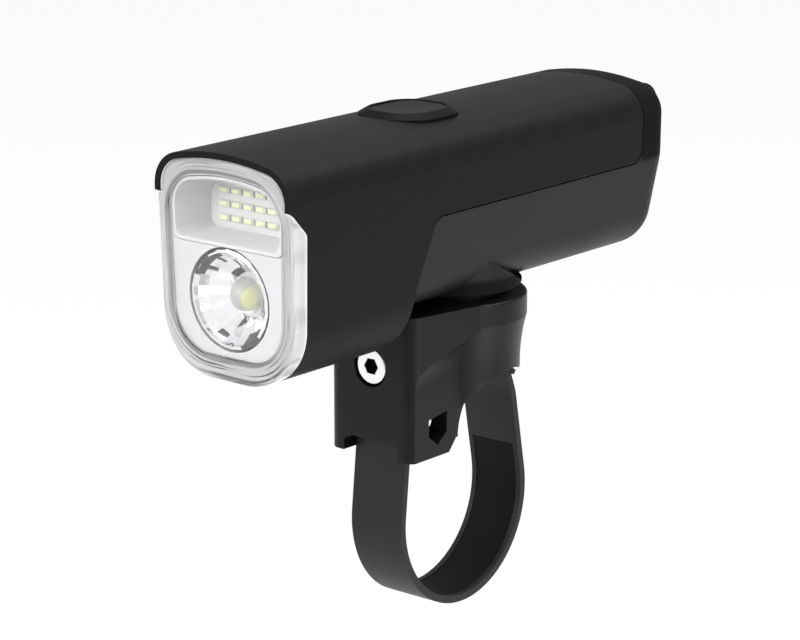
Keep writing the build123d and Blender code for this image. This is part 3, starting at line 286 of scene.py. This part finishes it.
def finish(name, colour, rough, metal=0.0, grain=0.0004, depth=0.00002, patch=0.10, glint=0.0,
           wear=0.3, marks=0.25, spread=0.08, gloss=0.5, soft_edges=True):
    """Opaque finish with grain, uneven tone, edge wear and light scuffs, and optional painted glints on small
    specks.
    """
    smoothest, speck_size, polish, wear_and_glint_gain, wear_and_glint_lift = 0.02, 0.12, 0.1, 1.6, 0.02
    material, tree, shader = principled(name)
    shader.inputs["Metallic"].default_value = metal
    shader.inputs["Specular IOR Level"].default_value = gloss
    skin = placed(tree, GRAIN, Size=grain)
    wear_and_glints = placed(tree, MARKS, Amount=marks).outputs["Marks"]
    if soft_edges:
        edge = placed(tree, EDGE)
        patchy = maths(tree, "MULTIPLY", edge.outputs["Edge"], skin.outputs["Patches"])
        wear_and_glints = maths(tree, "MAXIMUM", wear_and_glints, maths(tree, "MULTIPLY", patchy, wear))
    # Painted glints: small specks are lightened towards the wear colour as painted highlights.
    if glint:
        small = maths(tree, "LESS_THAN", skin.outputs["Speck"], speck_size)
        wear_and_glints = maths(tree, "MAXIMUM", wear_and_glints, maths(tree, "MULTIPLY", small, glint))
    dark = [c * (1 - patch) for c in colour]
    light = [min(1, c * (1 + patch)) for c in colour]
    wear_and_glint_colour = [min(1, c * wear_and_glint_gain + wear_and_glint_lift) for c in colour]
    tone = blend(tree, skin.outputs["Patches"], dark, light)
    tree.links.new(blend(tree, wear_and_glints, tone, wear_and_glint_colour), shader.inputs["Base Color"])
    sheen = stretch(tree, skin.outputs["Patches"], max(smoothest, rough - spread), min(1, rough + spread))
    polished = maths(tree, "SUBTRACT", sheen, maths(tree, "MULTIPLY", wear_and_glints, polish))
    tree.links.new(polished, shader.inputs["Roughness"])
    bump = node(tree, "Bump", {"Height": skin.outputs["Height"]}, Strength=1.0, Distance=depth)
    if soft_edges:
        tree.links.new(edge.outputs["Normal"], bump.inputs["Normal"])
    tree.links.new(bump.outputs["Normal"], shader.inputs["Normal"])
    return material


def clear_plastic(name, tint, rough=0.02, spread=0.03, ior=1.49, flow=0.00001):
    """Clear plastic with a faint waviness and hairlines. Its shadow lets the studio light through."""
    material, tree, shader = principled(name)
    shader.inputs["Base Color"].default_value = [*tint, 1]
    shader.inputs["Transmission Weight"].default_value = 1.0
    shader.inputs["IOR"].default_value = ior
    skin = placed(tree, GRAIN, Size=0.006, Patch_size=0.008)
    scuffs = placed(tree, MARKS, Amount=0.3)
    sheen = stretch(tree, skin.outputs["Patches"], rough, rough + spread)
    tree.links.new(maths(tree, "ADD", sheen, scuffs.outputs["Marks"]), shader.inputs["Roughness"])
    bump = node(tree, "Bump", {"Height": skin.outputs["Height"]}, Strength=0.4, Distance=flow)
    tree.links.new(bump.outputs["Normal"], shader.inputs["Normal"])
    through = node(tree, "BsdfTransparent", Color=[*tint, 1])
    shadow = node(tree, "LightPath").outputs["Is Shadow Ray"]
    tree.links.new(mix_shaders(tree, shadow, shader.outputs[0], through.outputs[0]),
                   tree.nodes["Material Output"].inputs["Surface"])
    return material


def mix_into_glass(tree, share, addition):
    """Mixes a share of another shader into a clear plastic, leaving its shadow as it is."""
    glass = tree.nodes["Material Output"].inputs["Surface"].links[0].from_node.inputs[1]
    tree.links.new(mix_shaders(tree, share, glass.links[0].from_socket, addition.outputs[0]), glass)


def tint_where(material, share, colour):
    """Blends a finish's base colour into another where the share is one."""
    base = material.node_tree.nodes["Principled BSDF"].inputs["Base Color"]
    tinted = blend(material.node_tree, share, base.links[0].from_socket, colour)
    material.node_tree.links.new(tinted, base)


def corner_distance(tree, side, end, radius):
    """Distance beyond a straight side and a straight end that meet in a round corner."""
    corner = node(tree, "CombineXYZ", {"X": maths(tree, "ADD", side, radius),
                                       "Y": maths(tree, "ADD", end, radius)})
    ahead = node(tree, "VectorMath", {"Vector": corner.outputs[0]}, operation="MAXIMUM")
    outside = maths(tree, "SUBTRACT", length(tree, ahead.outputs[0]), radius)
    inside = maths(tree, "MINIMUM", maths(tree, "MAXIMUM", side, end), -radius)
    return maths(tree, "MAXIMUM", outside, inside)


def window_distance(tree, place):
    """Distance outwards from the outline of the lens window."""
    up = maths(tree, "SUBTRACT", place["Z"], WINDOW_FOOT)
    half = maths(tree, "ADD", maths(tree, "MULTIPLY", up, WINDOW_WIDENING), WINDOW_FOOT_HALF)
    side = maths(tree, "SUBTRACT", maths(tree, "ABSOLUTE", place["X"]), half)
    square = maths(tree, "MULTIPLY", place["X"], place["X"])
    crown = maths(tree, "MULTIPLY", square, WINDOW_CROWN)
    above = maths(tree, "SUBTRACT", maths(tree, "ADD", place["Z"], crown), WINDOW_TOP)
    below = maths(tree, "SUBTRACT", WINDOW_FOOT, place["Z"])
    upper = corner_distance(tree, side, above, WINDOW_SHOULDER)
    lower = corner_distance(tree, side, below, WINDOW_KEEL)
    return maths(tree, "MAXIMUM", upper, lower)


def matt_end(material, gloss, matt):
    """Takes the shine off the rear cap above the side seam and off the boss under the belly."""
    cap_blur, side_blur, boss_blur, boss_fade = 0.0002, 0.0006, 0.0002, (0.0035, 0.0025)
    tree = material.node_tree
    place = own_place_parts(tree)
    behind = step_up(tree, place["Y"], CAP_SEAM - cap_blur, CAP_SEAM + cap_blur)
    above = step_up(tree, place["Z"], SIDE_SEAM - side_blur, SIDE_SEAM + side_blur)
    reach = axis_distance(tree, place["X"], maths(tree, "ADD", place["Y"], TWIST_AHEAD))
    within = step_up(tree, reach, BOSS_RADIUS + boss_blur, BOSS_RADIUS)
    low = step_up(tree, place["Z"], *(BELLY + height for height in boss_fade))
    dull = maths(tree, "MAXIMUM", maths(tree, "MULTIPLY", behind, above),
                 maths(tree, "MULTIPLY", within, low))
    tree.links.new(stretch(tree, dull, gloss, matt),
                   tree.nodes["Principled BSDF"].inputs["Specular IOR Level"])


def paint_socket_shade(material, centre, radius, front):
    """Paints shade into the key socket of a screw whose axis runs along Y at a height, behind its front face.
    """
    side_blur, lip, depth_blur, shade = 0.0001, 0.0002, 0.0003, (0.05, 0.05, 0.05)
    tree = material.node_tree
    place = own_place_parts(tree)
    reach = axis_distance(tree, place["X"], maths(tree, "SUBTRACT", place["Z"], centre))
    within = step_up(tree, reach, radius + side_blur, radius)
    behind = step_up(tree, place["Y"], front + lip, front + lip + depth_blur)
    tint_where(material, maths(tree, "MULTIPLY", within, behind), shade)


def lit_rim(material, share, pale, dark):
    """Paints light into a clear lens: a pale rim standing in for light carried through its clear edge, darker
    streaks and an outline of painted reflection that follow the window, and a painted highlight on its edges.
    """
    tree = material.node_tree
    place = own_place_parts(tree)
    beyond = window_distance(tree, place)
    # Darker streaks of painted reflection that follow the window.
    lane = node(tree, "CombineXYZ", {"X": maths(tree, "MULTIPLY", beyond, STREAKS_ACROSS),
                                     "Y": maths(tree, "MULTIPLY", place["Z"], STREAKS_ALONG),
                                     "Z": maths(tree, "MULTIPLY", place["X"], STREAKS_ALONG)})
    streaks = node(tree, "TexNoise", {"Vector": lane.outputs[0]}, Scale=1.0, Detail=2.0)
    low_down = step_up(tree, place["Z"], *STREAK_LOW_DOWN)
    strength = maths(tree, "ADD", STREAK_SHARE, maths(tree, "MULTIPLY", low_down, STREAK_SHARE_LOW_DOWN))
    streak = maths(tree, "MULTIPLY", step_up(tree, streaks.outputs["Fac"], *STREAK_CUT), strength)
    # Darker outline of painted reflection just outside the window.
    outline = maths(tree, "MULTIPLY", step_up(tree, beyond, *RIM_OUTLINE), RIM_OUTLINE_SHARE)
    tone = blend(tree, maths(tree, "MAXIMUM", streak, outline), pale, dark)
    # Pale rim shader: painted light standing in for light carried through the clear edge, with a painted
    # highlight on its edges.
    rim = node(tree, "BsdfPrincipled", Roughness=0.12)
    edge = placed(tree, EDGE)
    tree.links.new(blend(tree, edge.outputs["Edge"], tone, RIM_EDGE_GLINT), rim.inputs["Base Color"])
    mix_into_glass(tree, maths(tree, "MULTIPLY", step_up(tree, beyond, *RIM_START), share), rim)
    return material


def milky_share(material, share, colour, painted_lamp_view):
    """Clouds the clear dome with a share of pale haze, partly milky silicone and partly painted light, tinted
    round a painted patch that stands in for its lamp seen through it.
    """
    tree = material.node_tree
    away = node(tree, "VectorMath", {"Vector": own_place(tree)}, operation="SUBTRACT")
    away.inputs[1].default_value = DOME_PATCH
    squeezed = node(tree, "VectorMath", {"Vector": away.outputs[0]}, operation="MULTIPLY")
    squeezed.inputs[1].default_value = DOME_PATCH_SQUEEZE
    near = step_up(tree, length(tree, squeezed.outputs[0]), *DOME_PATCH_FADE)
    haze = node(tree, "BsdfPrincipled", Roughness=0.25)
    tree.links.new(blend(tree, near, colour, painted_lamp_view), haze.inputs["Base Color"])
    mix_into_glass(tree, share, haze)
    return material


def mirror_coat(name, colour, rough):
    """Vacuum-plated facets, some of them tinted dark as a painted reflection of dark surroundings, mostly on
    two opposite sides of the bowl.
    """
    material = finish(name, colour, rough, metal=1.0, grain=0.003, depth=0.000004, patch=0.03,
                      wear=0.0, marks=0.0, spread=0.02, soft_edges=False)
    tree = material.node_tree
    place = own_place_parts(tree)
    turn = maths(tree, "ARCTAN2", place["X"], maths(tree, "SUBTRACT", place["Z"], SPOT_AXIS))
    facet = maths(tree, "FLOOR", maths(tree, "MULTIPLY", turn, BOWL_FACETS / (2 * pi)))
    ring = maths(tree, "FLOOR", maths(tree, "MULTIPLY", place["Y"], DARK_REFLECTION_RINGS_PER_METRE))
    cell = node(tree, "CombineXYZ", {"X": facet, "Y": ring})
    chance = node(tree, "TexWhiteNoise", {"Vector": cell.outputs[0]}, noise_dimensions="2D")
    two_sides = maths(tree, "COSINE", maths(tree, "MULTIPLY", maths(tree, "ADD", turn, DARK_REFLECTION_TURN), 2.0))
    likely = maths(tree, "ADD", chance.outputs["Value"],
                   maths(tree, "MULTIPLY", two_sides, DARK_REFLECTION_TURN_WEIGHT))
    # Painted dark reflection on the chosen facets.
    tint_where(material, step_up(tree, likely, *DARK_REFLECTION_CUT), DARK_REFLECTION_TINT)
    return material


# The anodised alloy gets painted glints on small specks.
casing_black = finish("black anodised alloy", (0.0060, 0.0060, 0.0062), 0.50,
                      grain=0.00022, depth=0.000010, glint=0.06, wear=0.25, gloss=0.09)
cover_black = finish("satin black cover", (0.008, 0.008, 0.0082), 0.46,
                     grain=0.0003, depth=0.000010, gloss=0.16)
matt_end(cover_black, gloss=0.16, matt=0.01)
mount_black = finish("matte black nylon", (0.005, 0.005, 0.0052), 0.38,
                     grain=0.00045, depth=0.000014, gloss=0.17)
# Painted shade: the twist foot sits in the shaded gap under the head, so its nylon is made darker than the
# mount's.
puck_black_painted_shade = finish("smooth black nylon in painted shade", (0.002, 0.002, 0.002), 0.35,
                    grain=0.0004, depth=0.00001, gloss=0.12)
strap_black = finish("black strap rubber", (0.010, 0.010, 0.0103), 0.48,
                     grain=0.0005, depth=0.000018, gloss=0.24)
liner_black = finish("dark grip rubber", (0.004, 0.004, 0.004), 0.60,
                     grain=0.0006, depth=0.00003, gloss=0.10)
soft_black = finish("soft black rubber", (0.008, 0.008, 0.008), 0.60,
                    grain=0.0005, depth=0.00003, gloss=0.2)
rim_black = finish("button surround", (0.004, 0.004, 0.004), 0.50,
                   grain=0.0003, depth=0.000012, gloss=0.05)
button_black = finish("satin button rubber", (0.010, 0.010, 0.0102), 0.55,
                      grain=0.0004, depth=0.00002, gloss=0.10)
# Clear lens with a painted pale rim, painted dark streaks and a painted edge highlight.
lens_clear = lit_rim(clear_plastic("clear lens", (0.99, 0.995, 1.0)), share=0.66,
                     pale=(0.66, 0.66, 0.665), dark=(0.06, 0.06, 0.06))
# Clear dome with haze that is partly painted light and a painted yellow patch for its lamp.
dome_clear = milky_share(clear_plastic("clear silicone dome", (0.99, 0.99, 0.97), ior=1.41), share=0.62,
                         colour=(0.56, 0.56, 0.55), painted_lamp_view=(0.92, 0.93, 0.52))
seal_milky = finish("milky silicone", (0.90, 0.90, 0.89), 0.35,
                    grain=0.0008, depth=0.000006, patch=0.04, marks=0.0)
plate_grey = finish("pearl grey plate", (0.56, 0.56, 0.56), 0.34,
                    grain=0.0006, depth=0.000006, patch=0.03, marks=0.0)
bowl_bright = mirror_coat("plated bowl", (0.93, 0.93, 0.94), 0.05)
tray_bright = finish("pearl tray", (0.58, 0.58, 0.58), 0.30,
                     grain=0.0008, depth=0.000004, patch=0.02, marks=0.0)
led_white = finish("white ceramic", (0.62, 0.63, 0.56), 0.40,
                   grain=0.0003, depth=0.000004, patch=0.03, marks=0.0)
led_yellow = finish("yellow phosphor", (0.90, 0.95, 0.50), 0.55,
                    grain=0.0002, depth=0.000006, patch=0.06, marks=0.0)
lamp_yellow = finish("pale lamp phosphor", (0.74, 0.77, 0.46), 0.50,
                     grain=0.0002, depth=0.000006, patch=0.08, marks=0.0)
board_white = finish("white board mask", (0.60, 0.60, 0.60), 0.45, grain=0.0005, depth=0.000005, patch=0.04)
alloy_plain = finish("cast alloy", (0.56, 0.56, 0.58), 0.38, metal=1.0, grain=0.0006, depth=0.00002)
pad_grey = finish("grey thermal pad", (0.24, 0.26, 0.31), 0.75, grain=0.0006, depth=0.00003)
bolt_bright = finish("bright steel", (0.80, 0.80, 0.80), 0.26, metal=1.0,
                     grain=0.0006, depth=0.000006, patch=0.06)
# Painted shade in the bolt's key socket.
paint_socket_shade(bolt_bright, BOLT_HEIGHT, BOLT_SOCKET_RADIUS, front=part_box("clamp_bolt")[0][1])
steel_plain = finish("plain steel", (0.50, 0.50, 0.51), 0.30, metal=1.0, grain=0.0007, depth=0.000006)
nut_brass = finish("turned brass", (0.70, 0.54, 0.26), 0.28, metal=1.0, grain=0.0007, depth=0.000006)
wrap_blue = finish("blue cell wrap", (0.05, 0.14, 0.34), 0.25, grain=0.002, depth=0.000008)
card_white = finish("white card", (0.74, 0.73, 0.69), 0.80, grain=0.0004, depth=0.00002)
plastic_black = finish("plain black plastic", (0.014, 0.014, 0.014), 0.50)
foam_grey = finish("grey foam", (0.09, 0.09, 0.09), 0.90, grain=0.0008, depth=0.00008)
board_green = finish("green circuit board", (0.02, 0.14, 0.06), 0.30, grain=0.0005, depth=0.000006, patch=0.2)
chip_black = finish("chip resin", (0.025, 0.025, 0.028), 0.55, grain=0.0003, depth=0.00001)

NODE_FINISH = {
    casing_black: ["upper_casing"],
    cover_black: ["lower_cover"],
    rim_black: ["button_frame"],
    mount_black: ["mount_base"],
    puck_black_painted_shade: ["twist_foot"],
    liner_black: ["strap_liner"],
    strap_black: ["strap"],
    seal_milky: ["lens_gasket"],
    soft_black: ["cover_seal", "port_cover", "port_anchor", "saddle_pad"],
    button_black: ["button_cap"],
    lens_clear: ["front_lens"],
    dome_clear: ["main_led_dome"],
    plate_grey: ["bezel_plate"],
    bowl_bright: ["main_reflector"],
    tray_bright: ["flood_reflector"],
    led_white: ["main_led", "flood_leds"],
    led_yellow: ["main_led_phosphor"],
    board_white: ["led_board"],
    alloy_plain: ["heat_sink"],
    pad_grey: ["thermal_pad"],
    bolt_bright: ["clamp_bolt", "anchor_pin"],
    steel_plain: ["led_board_screws", "cap_screws", "foot_screws", "contact_tabs", "usb_socket",
                  "bolt_washer"],
    nut_brass: ["strap_nut"],
    wrap_blue: ["battery_cell"],
    card_white: ["cell_insulator"],
    plastic_black: ["battery_cradle", "socket_ring", "strap_slider", "switch_plunger"],
    foam_grey: ["battery_pads"],
    board_green: ["driver_board", "usb_board"],
    chip_black: ["board_components", "switch_body"],
}
for material, names in NODE_FINISH.items():
    for name in names:
        nodes[name].data.materials.clear()
        nodes[name].data.materials.append(material)


def alone():
    """Leaves edit mode and deselects everything."""
    if bpy.context.object and bpy.context.object.mode != "OBJECT":
        bpy.ops.object.mode_set(mode="OBJECT")
    bpy.ops.object.select_all(action="DESELECT")


def single_out(piece):
    """Makes a piece the only selected one and the active one."""
    alone()
    piece.select_set(True)
    bpy.context.view_layer.objects.active = piece


def own_copy(source, name):
    """Copy of an object with a mesh of its own, in the scene under a new name."""
    piece = source.copy()
    piece.data = source.data.copy()
    piece.name = name
    bpy.context.scene.collection.objects.link(piece)
    return piece


def start_piece(name):
    """Names the active object and opens it for editing."""
    piece = bpy.context.object
    piece.name = name
    bpy.ops.object.mode_set(mode="EDIT")
    return piece


def pick(piece, kind, wanted):
    """Selects the vertices, edges or faces of the open piece whose centre passes a test."""
    bpy.ops.mesh.select_mode(type=kind)
    bpy.ops.mesh.select_all(action="DESELECT")
    bpy.ops.object.mode_set(mode="OBJECT")
    mesh = piece.data
    for part in {"VERT": mesh.vertices, "EDGE": mesh.edges, "FACE": mesh.polygons}[kind]:
        if kind == "VERT":
            centre = part.co
        elif kind == "EDGE":
            centre = (mesh.vertices[part.vertices[0]].co + mesh.vertices[part.vertices[1]].co) / 2
        else:
            centre = part.center
        part.select = wanted(centre)
    bpy.ops.object.mode_set(mode="EDIT")


def thicken(piece, thickness):
    """Gives the open piece a wall and leaves it open for editing."""
    bpy.ops.object.mode_set(mode="OBJECT")
    wall = piece.modifiers.new("wall", "SOLIDIFY")
    wall.thickness = thickness
    wall.offset = -1
    bpy.ops.object.modifier_apply(modifier=wall.name)
    bpy.ops.object.mode_set(mode="EDIT")


def close_piece(piece, body, material, smooth=40):
    """Leaves edit mode, settles the place into the mesh and lets the piece ride."""
    bpy.ops.mesh.select_all(action="SELECT")
    bpy.ops.mesh.normals_make_consistent(inside=False)
    bpy.ops.object.mode_set(mode="OBJECT")
    bpy.ops.object.transform_apply(location=True, rotation=True, scale=True)
    bpy.ops.object.shade_smooth_by_angle(angle=radians(smooth))
    piece.data.materials.clear()
    piece.data.materials.append(material)
    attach(piece, body)


def bowl_radius(share):
    """Radius of the bowl at a share of its depth, from the throat to the rim."""
    return BOWL_THROAT + (BOWL_RIM - BOWL_THROAT) * (1 - (1 - share) ** BOWL_CURVE)


def faceted_bowl():
    """Plated reflector bowl of flat facets in rings, trimmed along the front."""
    alone()
    bpy.ops.mesh.primitive_circle_add(vertices=BOWL_FACETS, radius=BOWL_THROAT, fill_type="NOTHING",
                                      location=BOWL_CENTRE, rotation=(pi / 2, 0, 0))
    bpy.ops.object.transform_apply(location=True, rotation=True, scale=True)
    piece = start_piece("faceted_bowl")
    bpy.ops.mesh.select_all(action="SELECT")
    depth = (BOWL_FRONT - LED_FACE) / BOWL_RINGS
    for ring in range(BOWL_RINGS):
        grow = bowl_radius((ring + 1) / BOWL_RINGS) / bowl_radius(ring / BOWL_RINGS)
        bpy.ops.mesh.extrude_region_move(TRANSFORM_OT_translate={"value": (0, depth, 0)})
        bpy.ops.transform.resize(value=(grow, 1, grow), center_override=BOWL_CENTRE)
    bpy.ops.mesh.select_all(action="SELECT")
    bpy.ops.mesh.bisect(plane_co=BOWL_TRIM_PLACE, plane_no=BOWL_TRIM_NORMAL, clear_outer=True)
    bpy.ops.mesh.select_all(action="SELECT")
    bpy.ops.mesh.normals_make_consistent(inside=True)
    thicken(piece, BOWL_WALL)
    close_piece(piece, "head", bowl_bright, smooth=8)
    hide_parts("main_reflector")


def lamp_pads():
    """Yellow phosphor windows on the small lamps, as low pads with round corners."""
    low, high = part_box("flood_leds")
    places = {}
    for row in range(LAMP_ROWS):
        for column in range(LAMP_COLUMNS):
            x = low[0] + LAMP_WIDTH / 2 + column * (high[0] - low[0] - LAMP_WIDTH) / (LAMP_COLUMNS - 1)
            z = low[2] + LAMP_HEIGHT / 2 + row * (high[2] - low[2] - LAMP_HEIGHT) / (LAMP_ROWS - 1)
            places[f"lamp_pad_{row}_{column}"] = (x, low[1] - PAD_SIZE[1] / 2, z)
    names = list(places)
    alone()
    bpy.ops.mesh.primitive_cube_add(size=1, location=(0, 0, 0))
    first = start_piece(names[0])
    bpy.ops.mesh.select_all(action="SELECT")
    bpy.ops.transform.resize(value=PAD_SIZE)
    pick(first, "EDGE", lambda c: abs(c.y) < PAD_SIZE[1] / 100)
    bpy.ops.mesh.bevel(offset=PAD_CORNER, segments=3)
    pick(first, "FACE", lambda c: c.y < -0.4 * PAD_SIZE[1])
    bpy.ops.mesh.inset(thickness=PAD_INSET, depth=0)
    bpy.ops.transform.translate(value=(0, -PAD_RAISE, 0))
    bpy.ops.object.mode_set(mode="OBJECT")
    for piece in [first] + [own_copy(first, name) for name in names[1:]]:
        single_out(piece)
        piece.location = places[piece.name]
        bpy.ops.object.mode_set(mode="EDIT")
        close_piece(piece, "head", lamp_yellow)


def painted_light_sleeve():
    """Pale sleeve round the lens, between it and the casing, put in as painted light: a pale sheet that keeps
    the clear rim bright.
    """
    piece = own_copy(nodes["lens_gasket"], "painted_light_sleeve")
    piece.animation_data_clear()
    piece.parent = None
    single_out(piece)
    bpy.ops.object.mode_set(mode="EDIT")
    bpy.ops.mesh.select_all(action="SELECT")
    bpy.ops.mesh.remove_doubles(threshold=MERGE_DISTANCE)
    bpy.ops.mesh.select_mode(type="FACE")
    bpy.ops.object.mode_set(mode="OBJECT")
    # Only the outer wall of the gasket stays.
    for face in piece.data.polygons:
        outward = Vector((face.center.x, 0, face.center.z - SLEEVE_MIDDLE.z))
        across_beam = abs(face.normal.y) > 0.5
        face.select = across_beam or face.normal.dot(outward) < 0
    bpy.ops.object.mode_set(mode="EDIT")
    bpy.ops.mesh.delete(type="FACE")
    # Its front end is drawn out along the ears, then on under the hood.
    pick(piece, "VERT", lambda c: c.y < SLEEVE_START)
    for advance in (EAR_FRONT - SEAT + SLEEVE_OVERLAP, HOOD_FRONT - EAR_FRONT):
        bpy.ops.mesh.extrude_region_move(TRANSFORM_OT_translate={"value": (0, advance, 0)})
    # Ahead of the ears, the part below the hood is cut away along a slant.
    pick(piece, "FACE", lambda c: c.y < EAR_FRONT)
    bpy.ops.mesh.bisect(plane_co=(0, EAR_FRONT, SLEEVE_CUT_HEIGHT), plane_no=SLEEVE_CUT_SLANT,
                        clear_outer=True)
    bpy.ops.mesh.select_all(action="SELECT")
    bpy.ops.transform.resize(value=SLEEVE_GROWTH, center_override=SLEEVE_MIDDLE)
    bpy.ops.mesh.normals_make_consistent(inside=False)
    thicken(piece, SLEEVE_WALL)
    # The sleeve takes the gasket's milky finish, as painted light.
    close_piece(piece, "head", seal_milky)


faceted_bowl()
lamp_pads()
painted_light_sleeve()


def studio_camera():
    """Long lens from the front right and a little above."""
    camera = bpy.data.objects.new("studio_camera", bpy.data.cameras.new("studio_camera"))
    bpy.context.scene.collection.objects.link(camera)
    camera.location = (0.35607, -0.44722, 0.16963)
    camera.rotation_euler = (radians(75.3), 0, radians(39.6))
    camera.data.sensor_width = 36
    camera.data.lens = 133.43
    camera.data.clip_start = 0.01
    bpy.context.scene.camera = camera


def soft_box(name, place, aim, size, watts):
    """Rectangular studio light that points at a place."""
    lamp = bpy.data.lights.new(name, "AREA")
    lamp.shape = "RECTANGLE"
    lamp.size, lamp.size_y = size
    lamp.energy = watts
    holder = bpy.data.objects.new(name, lamp)
    bpy.context.scene.collection.objects.link(holder)
    holder.location = place
    holder.rotation_euler = (Vector(aim) - Vector(place)).to_track_quat("-Z", "Y").to_euler()
    return holder


def pale_floor(place, colour=0.8, whiteness=0.92, in_mirrors=0.5):
    """Wide floor, nearly white for the camera and through glass, and half as much in mirrors."""
    bpy.ops.mesh.primitive_plane_add(size=6, location=place)
    floor = bpy.context.object
    floor.name = "studio_floor"
    material, tree, shader = principled("pale floor")
    tree.nodes.remove(shader)
    plain = node(tree, "BsdfDiffuse", Color=(colour, colour, colour, 1))
    white = node(tree, "Emission", Strength=1.0, Color=(1, 1, 1, 1))
    paths = node(tree, "LightPath").outputs
    mirrored = maths(tree, "MULTIPLY", paths["Is Glossy Ray"], in_mirrors)
    seen = maths(tree, "MAXIMUM", paths["Is Camera Ray"],
                 maths(tree, "MAXIMUM", mirrored, paths["Is Transmission Ray"]))
    mixed = mix_shaders(tree, maths(tree, "MULTIPLY", seen, whiteness), plain.outputs[0], white.outputs[0])
    tree.links.new(mixed, tree.nodes["Material Output"].inputs["Surface"])
    floor.data.materials.append(material)


def pale_world(fill_strength=0.50):
    """Even pale fill, seen as plain white by the camera and through glass."""
    world = bpy.data.worlds.new("studio")
    bpy.context.scene.world = world
    world.use_nodes = True
    tree = world.node_tree
    tree.nodes.clear()
    fill = node(tree, "Background", Strength=fill_strength, Color=(1, 1, 1, 1))
    white = node(tree, "Background", Strength=1.0, Color=(1, 1, 1, 1))
    paths = node(tree, "LightPath").outputs
    seen = maths(tree, "MAXIMUM", paths["Is Camera Ray"], paths["Is Transmission Ray"])
    out = node(tree, "OutputWorld")
    tree.links.new(mix_shaders(tree, seen, fill.outputs[0], white.outputs[0]), out.inputs["Surface"])


studio_camera()
pale_floor((0, 0, -0.14))
pale_world()
soft_box("top_box", (0.10, 0.10, 0.75), aim=(0, 0, 0.02), size=(0.7, 0.9), watts=11)
soft_box("front_box", (-0.35, -0.75, 0.35), aim=(0, -0.03, 0.02), size=(0.5, 0.5), watts=4)
soft_box("side_box", (0.85, -0.05, 0.15), aim=(0, 0, 0.02), size=(0.5, 0.6), watts=3)
low_box = soft_box("low_box", (0.21, 0.03, -0.11), aim=(0.01, -0.005, 0.01), size=(0.10, 0.07), watts=0.10)
low_box.visible_camera = False

bpy.context.scene.view_settings.view_transform = "Standard"
